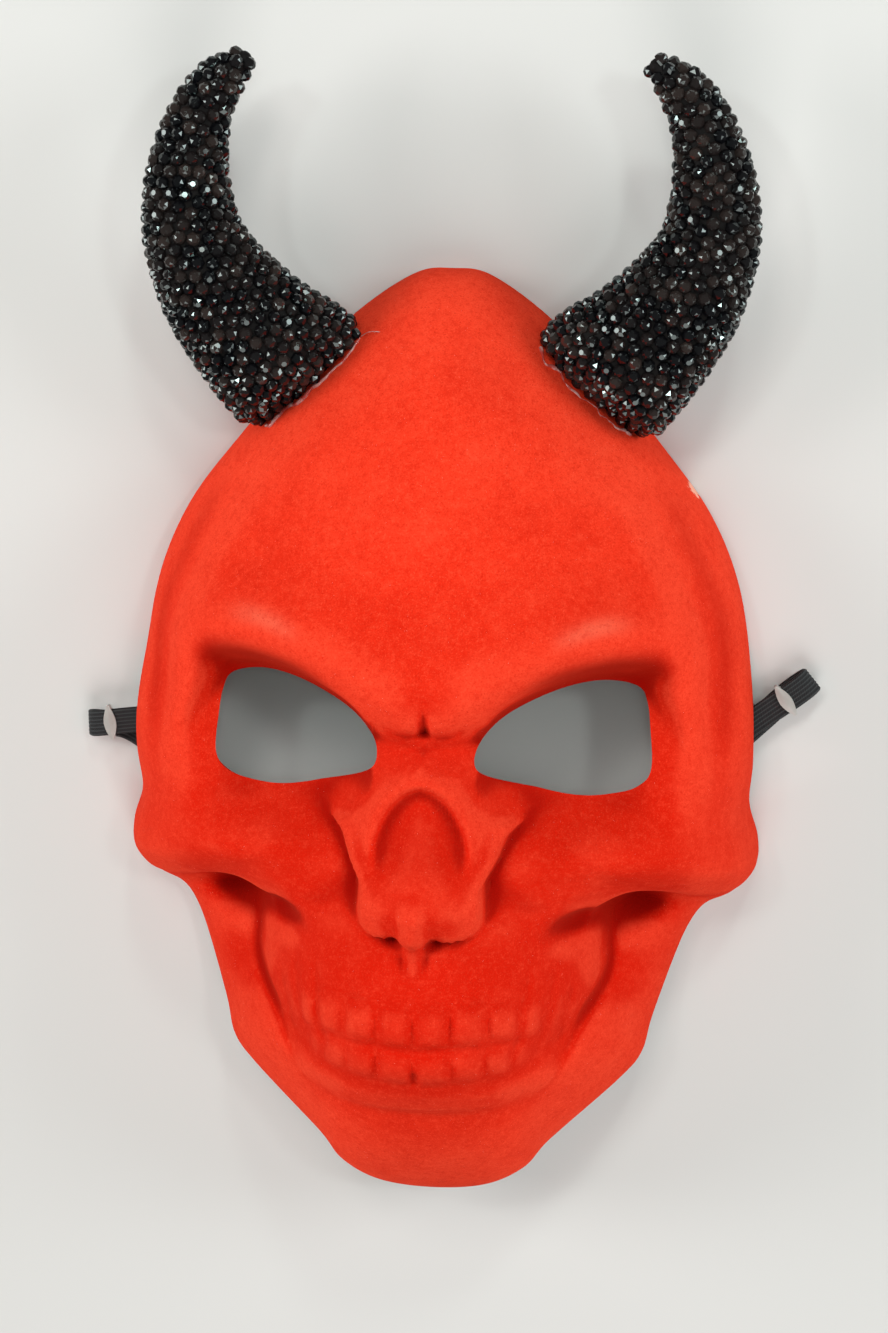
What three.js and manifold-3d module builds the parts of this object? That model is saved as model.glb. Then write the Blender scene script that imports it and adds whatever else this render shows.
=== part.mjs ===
import * as THREE from 'three';
import { mergeVertices } from 'three/addons/utils/BufferGeometryUtils.js';
import Module from 'manifold-3d';

// A devil mask: a thin moulded skull face with two stone-studded horns and an elastic head strap.
// It lies on its rim with the face up. Millimetres, +X to the viewer's right, +Y towards the
// horns, +Z out of the face. The origin is on the surface it lies on, under the box's middle.

const WALL = 1.4;                // moulded sheet with its flocking
const GAP = 0.3;                 // left between pieces that touch
const CENTRE_Y = -17;            // the face's middle, which the outline is measured from
const DOME_HEIGHT = 64;          // forehead above the rim
const JAW_PLANE_HEIGHT = 41;     // the flat hollow beside the teeth, carried on to the middle
const TEMPLE_LIFT = 10;          // the rim arches up over the strap
const TEMPLE_Y = -24;
const TEMPLE_REACH = 26;
const BELOW_RIM = 20;            // cutting bodies go this far past the mask
const ABOVE_DOME = 30;

// Half of the rim's outline, from the crown to the chin.
const OUTLINE = [
  [0, 98.7], [10, 97.2], [25, 87], [41, 71.2], [57.5, 51.8], [70.3, 34.5], [78.5, 15], [82.6, -9],
  [83.8, -30], [83.5, -44], [86.2, -54], [86, -62], [80.5, -69], [73, -72.8], [68.5, -78.5],
  [64.5, -88], [59.2, -104], [56.8, -113.5], [51, -121], [32.5, -139], [25.5, -147.5],
  [15, -152.8], [0, -154.3],
];
// One eye hole, seen from the front.
const EYE = [
  [52.8, -3.7], [44.8, -1.6], [36.4, -2.1], [27, -5], [18.5, -9.6], [13.6, -15], [12.5, -19.5],
  [15.5, -22.9], [24, -27.2], [36, -30.9], [46, -31.5], [53.5, -29.6], [56.8, -24.5],
  [56.2, -14], [55.2, -7.5],
];
// Lines of the carving on one half of the face.
const BROW = [
  [0, -6.5], [5, -4.6], [9, -2], [14, 1.8], [23, 7.4], [33.5, 12], [43.5, 14.2],
  [52.5, 13.6], [59.5, 10.6], [64.5, 5.6], [66.8, -1], [67.8, -9],
];
const BROW_UNDERSIDE = [
  [0, -11], [7.5, -10.8], [12.6, -7.4], [21, 0], [30, 5.2], [42, 8.6], [51, 8.4],
  [57, 6], [61, 2], [64, -4], [67, -12], [74, -20],
];
const ORBIT_FLOOR_START = [
  [0, -16], [8, -17.5], [12.5, -16.5], [18.5, -10.4], [27, -6.2], [36.4, -3.6], [44.8, -3.2],
  [52.8, -4.8], [57, -8.5], [61, -15], [67, -24], [74, -30],
];
const TEMPLE_LINE = [
  [70, -34], [68.6, -23], [67.6, -10], [67.4, -1], [66.7, 5.3], [65, 12], [62.3, 18],
  [57, 29], [50, 41], [42, 52],
];
const CHEEK_CREST = [[28, -48], [38, -44.5], [48, -43], [60, -43.5], [72, -46.5], [86, -53]];
const CHEEK_SHELF = [
  [94, -67], [82, -67], [70, -65], [61, -61.8], [54, -60.8], [49, -62], [45, -65.5],
  [41.5, -74], [37, -84], [30, -96],
];
const MOUTH_CREASE = [
  [46.6, -68], [46.6, -76], [46.4, -82], [45, -88], [41.8, -93.5], [38.4, -98.8],
  [35.4, -103.5], [32, -109],
];
const GLABELLA_SLIT = [[0, -6], [0, -12]];
const NOSE_ARCH = [[0, -21.2], [4.5, -22.6], [9, -26.6], [12, -31.4], [13.8, -37], [14.2, -44]];
const ARCH_GROOVE = [
  [0, -27.6], [4.2, -29.2], [7.2, -33], [8.7, -37], [9.8, -41.6], [10.2, -47],
];
const TOOTH_FOLDS = [
  [[28, -68], [27.5, -74], [26.9, -80], [26.4, -86], [25.5, -91], [23.5, -96.5], [21, -101]],
  [[33.6, -72], [33.4, -79], [32.7, -86], [31, -93], [29.7, -100.5]],
  [[38, -78], [37.6, -85], [36.3, -92], [34.8, -98], [33, -103]],
];
const UPPER_TEETH = { edges: [0, 9.4, 18.4, 26.3, 33.2], top: [[0, -79.8], [20, -80], [34, -82.4]],
  bottom: [[0, -91.4], [18, -90.3], [26, -91.3], [34, -93.5]], relief: [2.6, 2.6, 2.3, 1.5] };
const LOWER_TEETH = { edges: [0, 9.7, 17.9, 24.7, 30.6],
  top: [[0, -92.4], [18, -91.4], [26, -92.4], [34, -94.5]],
  bottom: [[0, -102.8], [18, -101.6], [32, -101.6]], relief: [2.0, 2.0, 1.8, 1.1] };

// A horn from its foot in the dome to its tip: the middle's place and the half width and half
// depth there, over the coat of stones.
const HORN_STATIONS = [
  [33.5, 65.5, 8, 14, 8], [37.6, 70.8, 16, 19.6, 15.5], [41.5, 75, 19.5, 20.2, 16.6],
  [49.5, 82.6, 22, 18.3, 15.4], [59, 94.3, 24.5, 15.9, 13.8], [65.3, 107, 26, 13.2, 11.8],
  [66.9, 119, 27, 11.5, 10.4], [65.8, 130, 27.5, 9.7, 8.9], [62.6, 140.4, 28, 7.8, 7.2],
  [57.6, 147.8, 28.5, 6.2, 5.9], [52.4, 152.2, 29, 3.8, 3.8],
];
// The horns are glued on by hand: each is moved along X by this much at its foot and its tip.
const HORNS = [
  { name: 'horn_left', side: -1, moved: [0.8, 1.4] },
  { name: 'horn_right', side: 1, moved: [2, 0] },
];
const HORN_LEAN = 0.25;          // the foot's cut leans back towards the tip
const STONE_HEIGHT = 1.1;        // the stones stand out this far
const HORN_TIP = 1.8;            // the point beyond the last ring
const HORN_SIDES = 20;
const HORN_RINGS = 26;

const STRAP_WIDTH = 7.2;
const STRAP_THICKNESS = 1.2;
const STRAP_STEPS = 76;
// The elastic's route: from inside the left temple, out under the rim, folded back and across
// below the mask, and out and back in again on the right.
const STRAP_ROUTE = [
  [-79.4, -24.8, 18], [-80.2, -25, 14], [-80.7, -25.2, 10.4], [-82.2, -25.5, 7.6], [-85, -26, 6.7],
  [-89.5, -26.6, 6.7], [-94, -27.3, 6.7], [-97.2, -27.9, 5.6], [-98.2, -28.1, 3.7],
  [-97, -28.5, 1.7], [-93.5, -28.9, 0.8], [-89, -29.6, 0.7], [-84.5, -31.9, 0.7], [-79, -36, 0.7],
  [-72, -42.4, 0.7],
  [-62, -50.8, 0.7], [-50, -57.6, 0.7], [-36, -63, 0.7], [-18, -67, 0.7], [0, -68.3, 0.7],
  [20, -66, 0.7], [38, -59.5, 0.7], [52, -50.8, 0.7], [64, -41, 0.7], [76, -30.2, 0.7],
  [86, -20.4, 0.7], [93, -13.3, 0.8], [97.2, -9.7, 1.7], [98.6, -8.4, 3.7], [97.4, -9.4, 5.6],
  [94, -12, 6.7], [89.5, -15.4, 6.6], [85, -18.9, 6.5], [81.1, -21.9, 7.2], [78.8, -23.4, 10],
  [78, -24, 14], [77.1, -24.3, 18],
];
const TIE_LENGTH = 9.6;
const TIE_WIDTH = 2.8;
const TIE_WALL = 0.5;
const TIE_POINT = 0.6;
const TIES = [
  { name: 'strap_tie_left', place: [-92, -27, 6.7], turn: 0.14 },
  { name: 'strap_tie_right', place: [91.8, -13.7, 6.7], turn: 0.65 },
];

const smooth = (t) => {
  const s = Math.min(1, Math.max(0, t));
  return s * s * (3 - 2 * s);
};
const ramp = (from, to, value) => smooth((value - from) / (to - from));
const bell = (distance, width) => Math.exp(-((distance / width) ** 2));

// A smooth curve through [place, value] stations, read at one place.
function along(stations, at) {
  const s = stations[0][0] < stations.at(-1)[0] ? stations : [...stations].reverse();
  const t = Math.min(s.at(-1)[0], Math.max(s[0][0], at));
  let i = 0;
  while (i < s.length - 2 && t > s[i + 1][0]) i += 1;
  const rise = (k) => (s[k + 1][1] - s[k][1]) / (s[k + 1][0] - s[k][0]);
  const slope = (k) => {
    if (k === 0) return rise(0);
    if (k === s.length - 1) return rise(k - 1);
    return (rise(k - 1) + rise(k)) / 2;
  };
  const h = s[i + 1][0] - s[i][0];
  const u = (t - s[i][0]) / h;
  return (2 * u ** 3 - 3 * u * u + 1) * s[i][1] + (u ** 3 - 2 * u * u + u) * h * slope(i)
    + (3 * u * u - 2 * u ** 3) * s[i + 1][1] + (u ** 3 - u * u) * h * slope(i + 1);
}

const LINE_DETAIL = 8;           // short pieces between two points of a line
const RIM_DETAIL = 40;
const EYE_DETAIL = 3;
function smoothLine(points, closed = false, detail = LINE_DETAIL) {
  const curve = new THREE.CatmullRomCurve3(
    points.map(([x, y]) => new THREE.Vector3(x, y, 0)), closed, 'catmullrom', 0.5);
  return curve.getPoints(detail * (points.length - (closed ? 0 : 1)));
}
const measuredLines = new Map();
function measuredLine(points) {
  if (!measuredLines.has(points)) {
    const line = smoothLine(points);
    let passed = 0;
    const pieces = line.slice(1).map((end, i) => {
      const [dx, dy] = [end.x - line[i].x, end.y - line[i].y];
      const length = Math.hypot(dx, dy);
      passed += length;
      return { x: line[i].x, y: line[i].y, dx, dy, length, start: passed - length };
    });
    measuredLines.set(points, { pieces, total: passed });
  }
  return measuredLines.get(points);
}
// The distance to a line, its share of the way along, and the side: + on the left of travel.
function nearest(points, x, y) {
  const { pieces, total } = measuredLine(points);
  let best = { distance: Infinity, share: 0, side: 0 };
  for (const piece of pieces) {
    const { dx, dy, length } = piece;
    const t = Math.min(1, Math.max(0, ((x - piece.x) * dx + (y - piece.y) * dy) / length ** 2));
    const [px, py] = [x - piece.x - t * dx, y - piece.y - t * dy];
    const distance = Math.hypot(px, py);
    if (distance < best.distance) {
      const share = (piece.start + t * length) / total;
      best = { distance, share, side: Math.sign(dx * py - dy * px) };
    }
  }
  return best;
}

function groove(points, width, depth, fade, x, y) {
  const { distance, share } = nearest(points, x, y);
  return -depth * smooth(share / fade) * smooth((1 - share) / fade) * bell(distance, width);
}
const bump = (x, y, cx, cy, rx, ry, height) => height * bell(x - cx, rx) * bell(y - cy, ry);
// The higher of two heights, with a soft crease of the given width where they cross.
function blendMax(a, b, width) {
  const h = Math.min(1, Math.max(0, 0.5 + (0.5 * (a - b)) / width));
  return b + (a - b) * h + width * h * (1 - h);
}

// The rim's distance from the face's middle at each angle.
const rimByAngle = (() => {
  const mirrored = [[-OUTLINE[1][0], OUTLINE[1][1]], ...OUTLINE, [-OUTLINE.at(-2)[0], OUTLINE.at(-2)[1]]];
  return smoothLine(mirrored, false, RIM_DETAIL)
    .map((p) => ({ angle: Math.atan2(p.y - CENTRE_Y, p.x), reach: Math.hypot(p.x, p.y - CENTRE_Y) }))
    .sort((a, b) => a.angle - b.angle);
})();
function rimReach(x, y) {
  const angle = Math.atan2(y - CENTRE_Y, Math.abs(x));
  let i = 1;
  while (i < rimByAngle.length - 1 && rimByAngle[i].angle < angle) i += 1;
  const [a, b] = [rimByAngle[i - 1], rimByAngle[i]];
  return a.reach + ((b.reach - a.reach) * (angle - a.angle)) / (b.angle - a.angle);
}
const rimShare = (x, y) => Math.min(1, Math.hypot(x, y - CENTRE_Y) / rimReach(x, y));

// The rim lies flat round the crown and at the cheeks, arches over the strap and rises to the chin.
function rimHeight(y) {
  const lift = TEMPLE_LIFT * smooth(1 - Math.abs(y - TEMPLE_Y) / TEMPLE_REACH);
  const jaw = [[-154, 15], [-140, 14], [-120, 12], [-100, 8], [-80, 3], [-68, 0], [-60, 0]];
  return lift + (y < -60 ? Math.max(0, along(jaw, y)) : 0);
}

// The big form: dome, cheeks and the low plane of the jaw beside the teeth.
function skullForm(x, y, share, rim) {
  const shelf = nearest(CHEEK_SHELF, x, y);
  const inward = shelf.side < 0 ? shelf.distance : -shelf.distance;
  const face = along([[-56, DOME_HEIGHT], [-70, 60], [-84, 48], [-94, JAW_PLANE_HEIGHT]], y)
    - 8 * (1 - ramp(-2, 12, inward));
  const top = JAW_PLANE_HEIGHT + (face - JAW_PLANE_HEIGHT) * ramp(-2.5, 2.5, inward);
  let z = rim + (top - rim) * (1 - share ** 2.3) ** 0.55;
  const crest = nearest(CHEEK_CREST, x, y);
  z += 2.4 * smooth(crest.share / 0.3) * bell(crest.distance, 10) * smooth((1 - share) / 0.06);
  z += bump(x, y, 78, 4, 7, 24, -1.5) * smooth((1 - share) / 0.08);
  const temple = nearest(TEMPLE_LINE, x, y);
  const outward = temple.side < 0 ? temple.distance : -temple.distance;
  const fade = smooth(temple.share / 0.25) * smooth((1 - temple.share) / 0.35);
  z += (bell(temple.distance, 4) - 1.6 * ramp(-2, 9, outward)) * fade * smooth((1 - share) / 0.1);
  return z;
}

// The brow rolls over from its crest, and the eye lies deeper under it.
function orbit(x, y) {
  const rounded = Math.hypot(x, 5 * ramp(-6, 6, y));
  const { distance, share, side } = nearest(BROW, rounded, y);
  const height = along([[0, 4.8], [0.12, 6.4], [0.3, 7.8], [0.5, 8.4], [0.65, 7.6], [0.78, 5],
    [0.9, 1.8], [1, 0]], share);
  const spread = side > 0 ? [[0, 11.5], [0.45, 11.5], [0.65, 9], [0.85, 7.5], [1, 7]]
    : [[0, 7], [0.3, 8.5], [0.65, 8.5], [1, 7]];
  const [top, floor] = [along(BROW_UNDERSIDE, x), along(ORBIT_FLOOR_START, x)];
  const depth = along([[0, 3], [8, 5.5], [14, 9], [20, 12], [30, 14.5], [40, 15.5], [48, 15], [54, 12],
    [60, 7], [66, 2], [71, 0]], x);
  const bowl = depth * ramp(0, 1, (top - y) / (top - floor)) * ramp(-50, -29, y);
  return height * bell(distance, along(spread, share)) - bowl + bump(x, y, 57, 1, 5, 5, -3);
}

// The round block that carries the teeth, and the jaw with its broad chin.
function muzzle(x, y) {
  const halfWidth = along([[-50, 45], [-62, 46.6], [-76, 46.6], [-82, 46.3], [-88, 44.8],
    [-93.5, 41.8], [-98.8, 38.4], [-104, 35], [-109, 32], [-114, 28], [-122, 20]], y);
  const middle = along([[-48, 62], [-56, 68], [-62, 71.5], [-70, 72.5], [-77, 73.5], [-84, 75],
    [-91, 75], [-98, 73.6], [-103, 70.5], [-107, 66.5], [-111, 61], [-116, 53], [-122, 43]], y);
  const edge = along([[-50, 32], [-66, 30], [-77, 31], [-88, 34], [-99, 40], [-105, 43],
    [-110, 41], [-116, 35]], y);
  const share = Math.min(1.3, x / halfWidth);
  const sideDrop = (middle - edge) * share ** 2.5 + 60 * ramp(1, 1.3, share);
  return middle - sideDrop - 90 * ramp(-112, -126, y);
}
function jaw(x, y, share, rim) {
  const middle = along([[-70, 36], [-80, 45], [-90, 56], [-98, 65], [-104, 68.6], [-110, 69],
    [-118, 67.6], [-126, 66], [-134, 64.3], [-142, 62], [-154, 60]], y);
  const top = middle * Math.sqrt(Math.max(0.02, 1 - (x / 70) ** 2));
  return rim + (top - rim) * (1 - share ** 4.5) ** 0.6;
}

function teeth({ edges, top, bottom, relief }, x, y) {
  const [high, low] = [along(top, x), along(bottom, x)];
  const pillow = (t) => Math.max(0, 1 - t * t) ** 0.7;
  const acrossRow = pillow((y - (high + low) / 2) / ((high - low) / 2));
  return relief.reduce((sum, height, i) => {
    const [left, right] = [edges[i], edges[i + 1]];
    return sum + height * acrossRow * pillow((x - (left + right) / 2) / ((right - left) / 2));
  }, 0);
}

// The nose is a raised keystone with an arched hollow, two lobes and a narrow septum below.
function nose(x, y, z) {
  const middle = along([[-10, 64], [-14, 65.5], [-18, 68.5], [-22, 71], [-27, 72], [-34, 73],
    [-42, 76], [-49, 79], [-54, 80.8], [-59, 79.5], [-64, 77]], y);
  const edge = along([[-16, 15], [-24, 18], [-30, 20.5], [-34, 22.2], [-36.2, 22.6],
    [-37.8, 20.8], [-40.8, 19.2], [-44.8, 17.4], [-48.8, 15.1], [-52.5, 14.8], [-57.8, 14.8],
    [-60.8, 13.4], [-62.6, 9.5], [-63.2, 3]], y);
  const outer = along([[-14, 12], [-26, 11], [-32, 9], [-35.5, 4], [-38, 3.2], [-64, 3]], y);
  const inner = along([[-14, 12], [-26, 11], [-32, 7], [-35.5, 1.5], [-38, 0.6], [-64, 0.8]], y);
  const drop = along([[-14, 14], [-20, 14], [-30, 11], [-36, 9.5], [-44, 9], [-52, 8], [-58, 7],
    [-64, 6]], y);
  const spread = along([[-16, 16], [-30, 20], [-40, 19], [-50, 16.5], [-64, 15.5]], y);
  const form = middle - drop * Math.min(1.5, x / spread) ** 2;
  const cover = ramp(-outer, inner, edge - x) * ramp(-65.2, -62.2, y) * ramp(-10, -20, y);
  let height = z + (form - z) * cover;
  const arch = nearest(NOSE_ARCH, x, y);
  const inside = arch.side < 0 ? arch.distance : -arch.distance;
  height += 1.7 * bell(arch.distance, 3.1) * smooth((1 - arch.share) / 0.4);
  height -= 4.4 * ramp(0.5, 5.5, inside) * (1 - 0.75 * ramp(6, 15, inside)) * ramp(-50, -38, y);
  height += groove(ARCH_GROOVE, 0.9, 0.5, 0.3, x, y);
  height += 2.2 * ramp(4.8, 1.8, x) * ramp(-69, -62, y) * ramp(-49, -57, y);
  return height + bump(x, y, 6.4, -63, 2.2, 1.4, -3.4);
}

// The outer surface's height above the rim plane.
function faceHeight(signedX, y) {
  const x = Math.abs(signedX);
  const share = rimShare(x, y);
  const rim = rimHeight(y);
  let z = skullForm(x, y, share, rim) + orbit(x, y);
  if (y < -70) z = blendMax(jaw(x, y, share, rim), z, 4);
  z += (blendMax(muzzle(x, y), z, 3 + 7 * ramp(-95, -107, y)) - z) * ramp(-46, -62, y);
  z += groove(MOUTH_CREASE, 1.7, 2.4, 0.2, x, y);
  z += bump(x, y, 39, -65.5, 6, 3.6, -7.5) + bump(x, y, 54, -68, 8.5, 5, -12);
  for (const fold of TOOTH_FOLDS) z += groove(fold, 1.2, 0.9, 0.3, x, y);
  z = nose(x, y, z);
  z += teeth(UPPER_TEETH, x, y) + teeth(LOWER_TEETH, x, y);
  z -= 3 * bell(nearest(GLABELLA_SLIT, x, y).distance, 1.2) * ramp(-4, -10, y);
  return Math.max(z, rim);
}

// A square's points from -1 to 1 bent to the outline; lift moves the face along its normals.
function facePoint(u, v, lift) {
  const [p, q] = [u * Math.sqrt(1 - (v * v) / 2), v * Math.sqrt(1 - (u * u) / 2)];
  const length = Math.hypot(p, q) || 1;
  const reach = rimReach(p, CENTRE_Y + q) * length;
  const [x, y] = [(reach * p) / length, CENTRE_Y + (reach * q) / length];
  const rim = rimHeight(y);
  if (Math.max(Math.abs(u), Math.abs(v)) === 1) {
    const normal = new THREE.Vector3(p / length, q / length, 0);
    return { place: new THREE.Vector3(x, y, rim).addScaledVector(normal, lift), normal };
  }
  const e = 0.4;
  const dx = (faceHeight(x + e, y) - faceHeight(x - e, y)) / (2 * e);
  const dy = (faceHeight(x, y + e) - faceHeight(x, y - e)) / (2 * e);
  const normal = new THREE.Vector3(-dx, -dy, 1).normalize();
  const place = new THREE.Vector3(x, y, faceHeight(x, y)).addScaledVector(normal, lift);
  place.z = Math.max(place.z, rim);
  return { place, normal };
}

// The square is halved again and again along its longest sides, in step on both sides of each
// side, as long as a triangle's middle lies further off the face than the tolerance.
const NET = 128;
const FACE_TOLERANCE = 0.9;
const FINE_CARE = 1.2;           // nearer by this share round the nose and teeth
const FINE_Y = -68;
function faceNet() {
  const at = ([i, j]) => i * (NET + 1) + j;
  const middle = ([a, b]) => [(a[0] + b[0]) / 2, (a[1] + b[1]) / 2];
  const halves = (t) => [[t[2], t[0], middle(t)], [t[1], t[2], middle(t)]];
  const levels = [[[[NET, NET], [0, 0], [NET, 0]], [[0, 0], [NET, NET], [0, NET]]]];
  for (let n = 0; n < 2 * Math.log2(NET) - 1; n += 1) levels.push(levels[n].flatMap(halves));

  const points = [];
  for (let i = 0; i <= NET; i += 1) {
    for (let j = 0; j <= NET; j += 1) {
      points.push(facePoint((2 * i) / NET - 1, (2 * j) / NET - 1, 0));
    }
  }
  const error = new Float64Array(points.length);
  for (const level of [...levels].reverse()) {
    for (const t of level) {
      const m = at(middle(t));
      const { place, normal } = points[m];
      const [from, to] = [points[at(t[0])].place, points[at(t[1])].place];
      const off = from.clone().add(to).multiplyScalar(0.5).sub(place);
      const care = 1 + FINE_CARE * bell(place.x, 36) * bell(place.y - FINE_Y, 34);
      const below = level === levels.at(-1) ? [] : halves(t).map((half) => error[at(middle(half))]);
      error[m] = Math.max(error[m], Math.abs(off.dot(normal)) * care, ...below);
    }
  }
  const split = (t, depth) => {
    if (depth < 2 || (depth < levels.length && error[at(middle(t))] > FACE_TOLERANCE)) {
      return halves(t).flatMap((half) => split(half, depth + 1));
    }
    return [t];
  };
  return levels[0].flatMap((t) => split(t, 0));
}
const NET_TRIANGLES = faceNet();

// The net twice, as a face and as its back, joined by a strip round the rim.
function closedSheet(upper, lower) {
  const numbers = new Map();
  const used = [];
  const number = ([i, j]) => {
    const key = i * (NET + 1) + j;
    if (!numbers.has(key)) {
      numbers.set(key, used.length);
      used.push([(2 * i) / NET - 1, (2 * j) / NET - 1]);
    }
    return numbers.get(key);
  };
  const top = NET_TRIANGLES.map((t) => t.map(number));
  const count = used.length;
  const faces = top.flatMap(([a, b, c]) => [[a, b, c], [c + count, b + count, a + count]]);
  const onRim = ([u, v]) => Math.max(Math.abs(u), Math.abs(v)) === 1;
  const sameSide = (a, b) => used[a].some((value, k) => Math.abs(value) === 1 && value === used[b][k]);
  for (const t of top) {
    t.forEach((a, k) => {
      const b = t[(k + 1) % 3];
      if (!onRim(used[a]) || !onRim(used[b]) || !sameSide(a, b)) return;
      faces.push([b, a, a + count], [b, a + count, b + count]);
    });
  }
  return geometryFrom([...used.map(upper), ...used.map(lower)], faces);
}

function geometryFrom(positions, faces) {
  const geometry = new THREE.BufferGeometry();
  geometry.setAttribute('position', new THREE.Float32BufferAttribute(positions.flat(), 3));
  geometry.setIndex(faces.flat());
  return geometry;
}

const wasm = await Module();
wasm.setup();

function solidFrom(geometry) {
  const bare = geometry.clone();
  for (const name of ['normal', 'uv']) bare.deleteAttribute(name);
  const merged = mergeVertices(bare, 1e-4);
  return new wasm.Manifold(new wasm.Mesh({
    numProp: 3,
    vertProperties: new Float32Array(merged.attributes.position.array),
    triVerts: new Uint32Array(merged.index.array),
  }));
}
function geometryOf(solid) {
  const mesh = solid.getMesh();
  const geometry = new THREE.BufferGeometry();
  geometry.setAttribute('position', new THREE.BufferAttribute(new Float32Array(mesh.vertProperties), 3));
  geometry.setIndex(new THREE.BufferAttribute(new Uint32Array(mesh.triVerts), 1));
  return geometry;
}

function eyeCutter(side) {
  const outline = smoothLine(EYE, true, EYE_DETAIL);
  const shape = new THREE.Shape(outline.map((p) => new THREE.Vector2(side * p.x, p.y)));
  const [from, to] = [-BELOW_RIM, DOME_HEIGHT + ABOVE_DOME];
  const cutter = new THREE.ExtrudeGeometry(shape, { depth: to - from, bevelEnabled: false });
  return cutter.translate(0, 0, from);
}

const face = (lift) => ([u, v]) => facePoint(u, v, lift).place.toArray();

function maskShell() {
  const sheet = solidFrom(closedSheet(face(0), face(-WALL)));
  return geometryOf(sheet.subtract(solidFrom(eyeCutter(-1))).subtract(solidFrom(eyeCutter(1))));
}

// Everything behind the face, grown by the gap: a horn's foot is cut to fit the dome with it.
function behindFace() {
  const under = (uv) => {
    const [x, y] = face(GAP)(uv);
    return [x, y, -BELOW_RIM];
  };
  return closedSheet(face(GAP), under);
}

// A horn is a loft through its stations; its coat of stones is a field of four-sided points.
function horn({ side, moved }) {
  const places = HORN_STATIONS.map(([x, y, z], i) => {
    const share = i / (HORN_STATIONS.length - 1);
    return new THREE.Vector3(x + side * (moved[0] * (1 - share) + moved[1] * share), y, z);
  });
  const line = new THREE.CatmullRomCurve3(places, false, 'centripetal');
  const stations = (k) => HORN_STATIONS.map((s, i) => [i / (HORN_STATIONS.length - 1), s[k]]);
  const positions = [];
  for (let r = 0; r <= HORN_RINGS; r += 1) {
    const share = r / HORN_RINGS;
    const centre = line.getPoint(share);
    const forward = line.getTangent(share).setZ(0).normalize();
    const across = new THREE.Vector3(forward.y, -forward.x, 0);
    const up = new THREE.Vector3(0, 0, 1).addScaledVector(forward, HORN_LEAN * (1 - share));
    for (let k = 0; k < HORN_SIDES; k += 1) {
      const angle = (2 * Math.PI * k) / HORN_SIDES;
      const sunk = (k + r) % 2 ? STONE_HEIGHT : 0;
      const point = centre.clone()
        .addScaledVector(across, Math.cos(angle) * (along(stations(3), share) - sunk))
        .addScaledVector(up, Math.sin(angle) * (along(stations(4), share) - sunk));
      positions.push([side * point.x, point.y, point.z]);
    }
  }
  const foot = positions.length;
  positions.push([side * places[0].x, places[0].y, places[0].z]);
  const end = line.getPoint(1).addScaledVector(line.getTangent(1), HORN_TIP);
  positions.push([side * end.x, end.y, end.z]);
  const at = (r, k) => r * HORN_SIDES + (k % HORN_SIDES);
  const faces = [];
  for (let r = 0; r < HORN_RINGS; r += 1) {
    for (let k = 0; k < HORN_SIDES; k += 1) {
      const [a, b, c, d] = [at(r, k), at(r, k + 1), at(r + 1, k + 1), at(r + 1, k)];
      if ((k + r) % 2) faces.push([a, c, b], [a, d, c]);
      else faces.push([a, d, b], [b, d, c]);
    }
  }
  for (let k = 0; k < HORN_SIDES; k += 1) {
    faces.push([foot, at(0, k), at(0, k + 1)]);
    faces.push([foot + 1, at(HORN_RINGS, k + 1), at(HORN_RINGS, k)]);
  }
  const facing = side > 0 ? faces : faces.map((f) => [...f].reverse());
  const body = solidFrom(geometryFrom(positions, facing));
  return geometryOf(body.subtract(solidFrom(behindFace())));
}

// A flat band along the route; its width stays level and turns with the route seen from above.
function strapGeometry() {
  const places = STRAP_ROUTE.map((p) => new THREE.Vector3(...p));
  const route = new THREE.CatmullRomCurve3(places, false, 'centripetal');
  const points = route.getSpacedPoints(STRAP_STEPS);
  const tangents = points.map((_, i) => new THREE.Vector3()
    .subVectors(points[Math.min(i + 1, STRAP_STEPS)], points[Math.max(i - 1, 0)]).normalize());
  const up = new THREE.Vector3(0, 0, 1);
  let last = new THREE.Vector3(0, 1, 0);
  const widths = tangents.map((tangent) => {
    const level = up.clone().cross(tangent);
    if (level.length() > 0.5) {
      level.normalize();
      last = level.dot(last) < 0 ? level.negate() : level;
    }
    return last.clone();
  });
  const eased = widths.map((_, i) => {
    const sum = new THREE.Vector3();
    for (let k = -2; k <= 2; k += 1) sum.add(widths[Math.min(STRAP_STEPS, Math.max(0, i + k))]);
    return sum.addScaledVector(tangents[i], -sum.dot(tangents[i])).normalize();
  });
  const [w, t] = [STRAP_WIDTH / 2, STRAP_THICKNESS / 2];
  const section = [[-w, -t], [w, -t], [w, t], [-w, t]];
  const positions = points.flatMap((p, i) => {
    const thick = new THREE.Vector3().crossVectors(tangents[i], eased[i]);
    return section.map(([a, b]) => (
      p.clone().addScaledVector(eased[i], a).addScaledVector(thick, b).toArray()));
  });
  const n = section.length;
  const faces = [];
  for (let i = 0; i < STRAP_STEPS; i += 1) {
    for (let k = 0; k < n; k += 1) {
      const [a, b] = [i * n + k, i * n + ((k + 1) % n)];
      faces.push([a, b, b + n], [a, b + n, a + n]);
    }
  }
  for (let k = 1; k < n - 1; k += 1) {
    faces.push([0, k + 1, k]);
    faces.push([STRAP_STEPS * n, STRAP_STEPS * n + k, STRAP_STEPS * n + k + 1]);
  }
  return geometryFrom(positions, faces);
}

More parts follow.
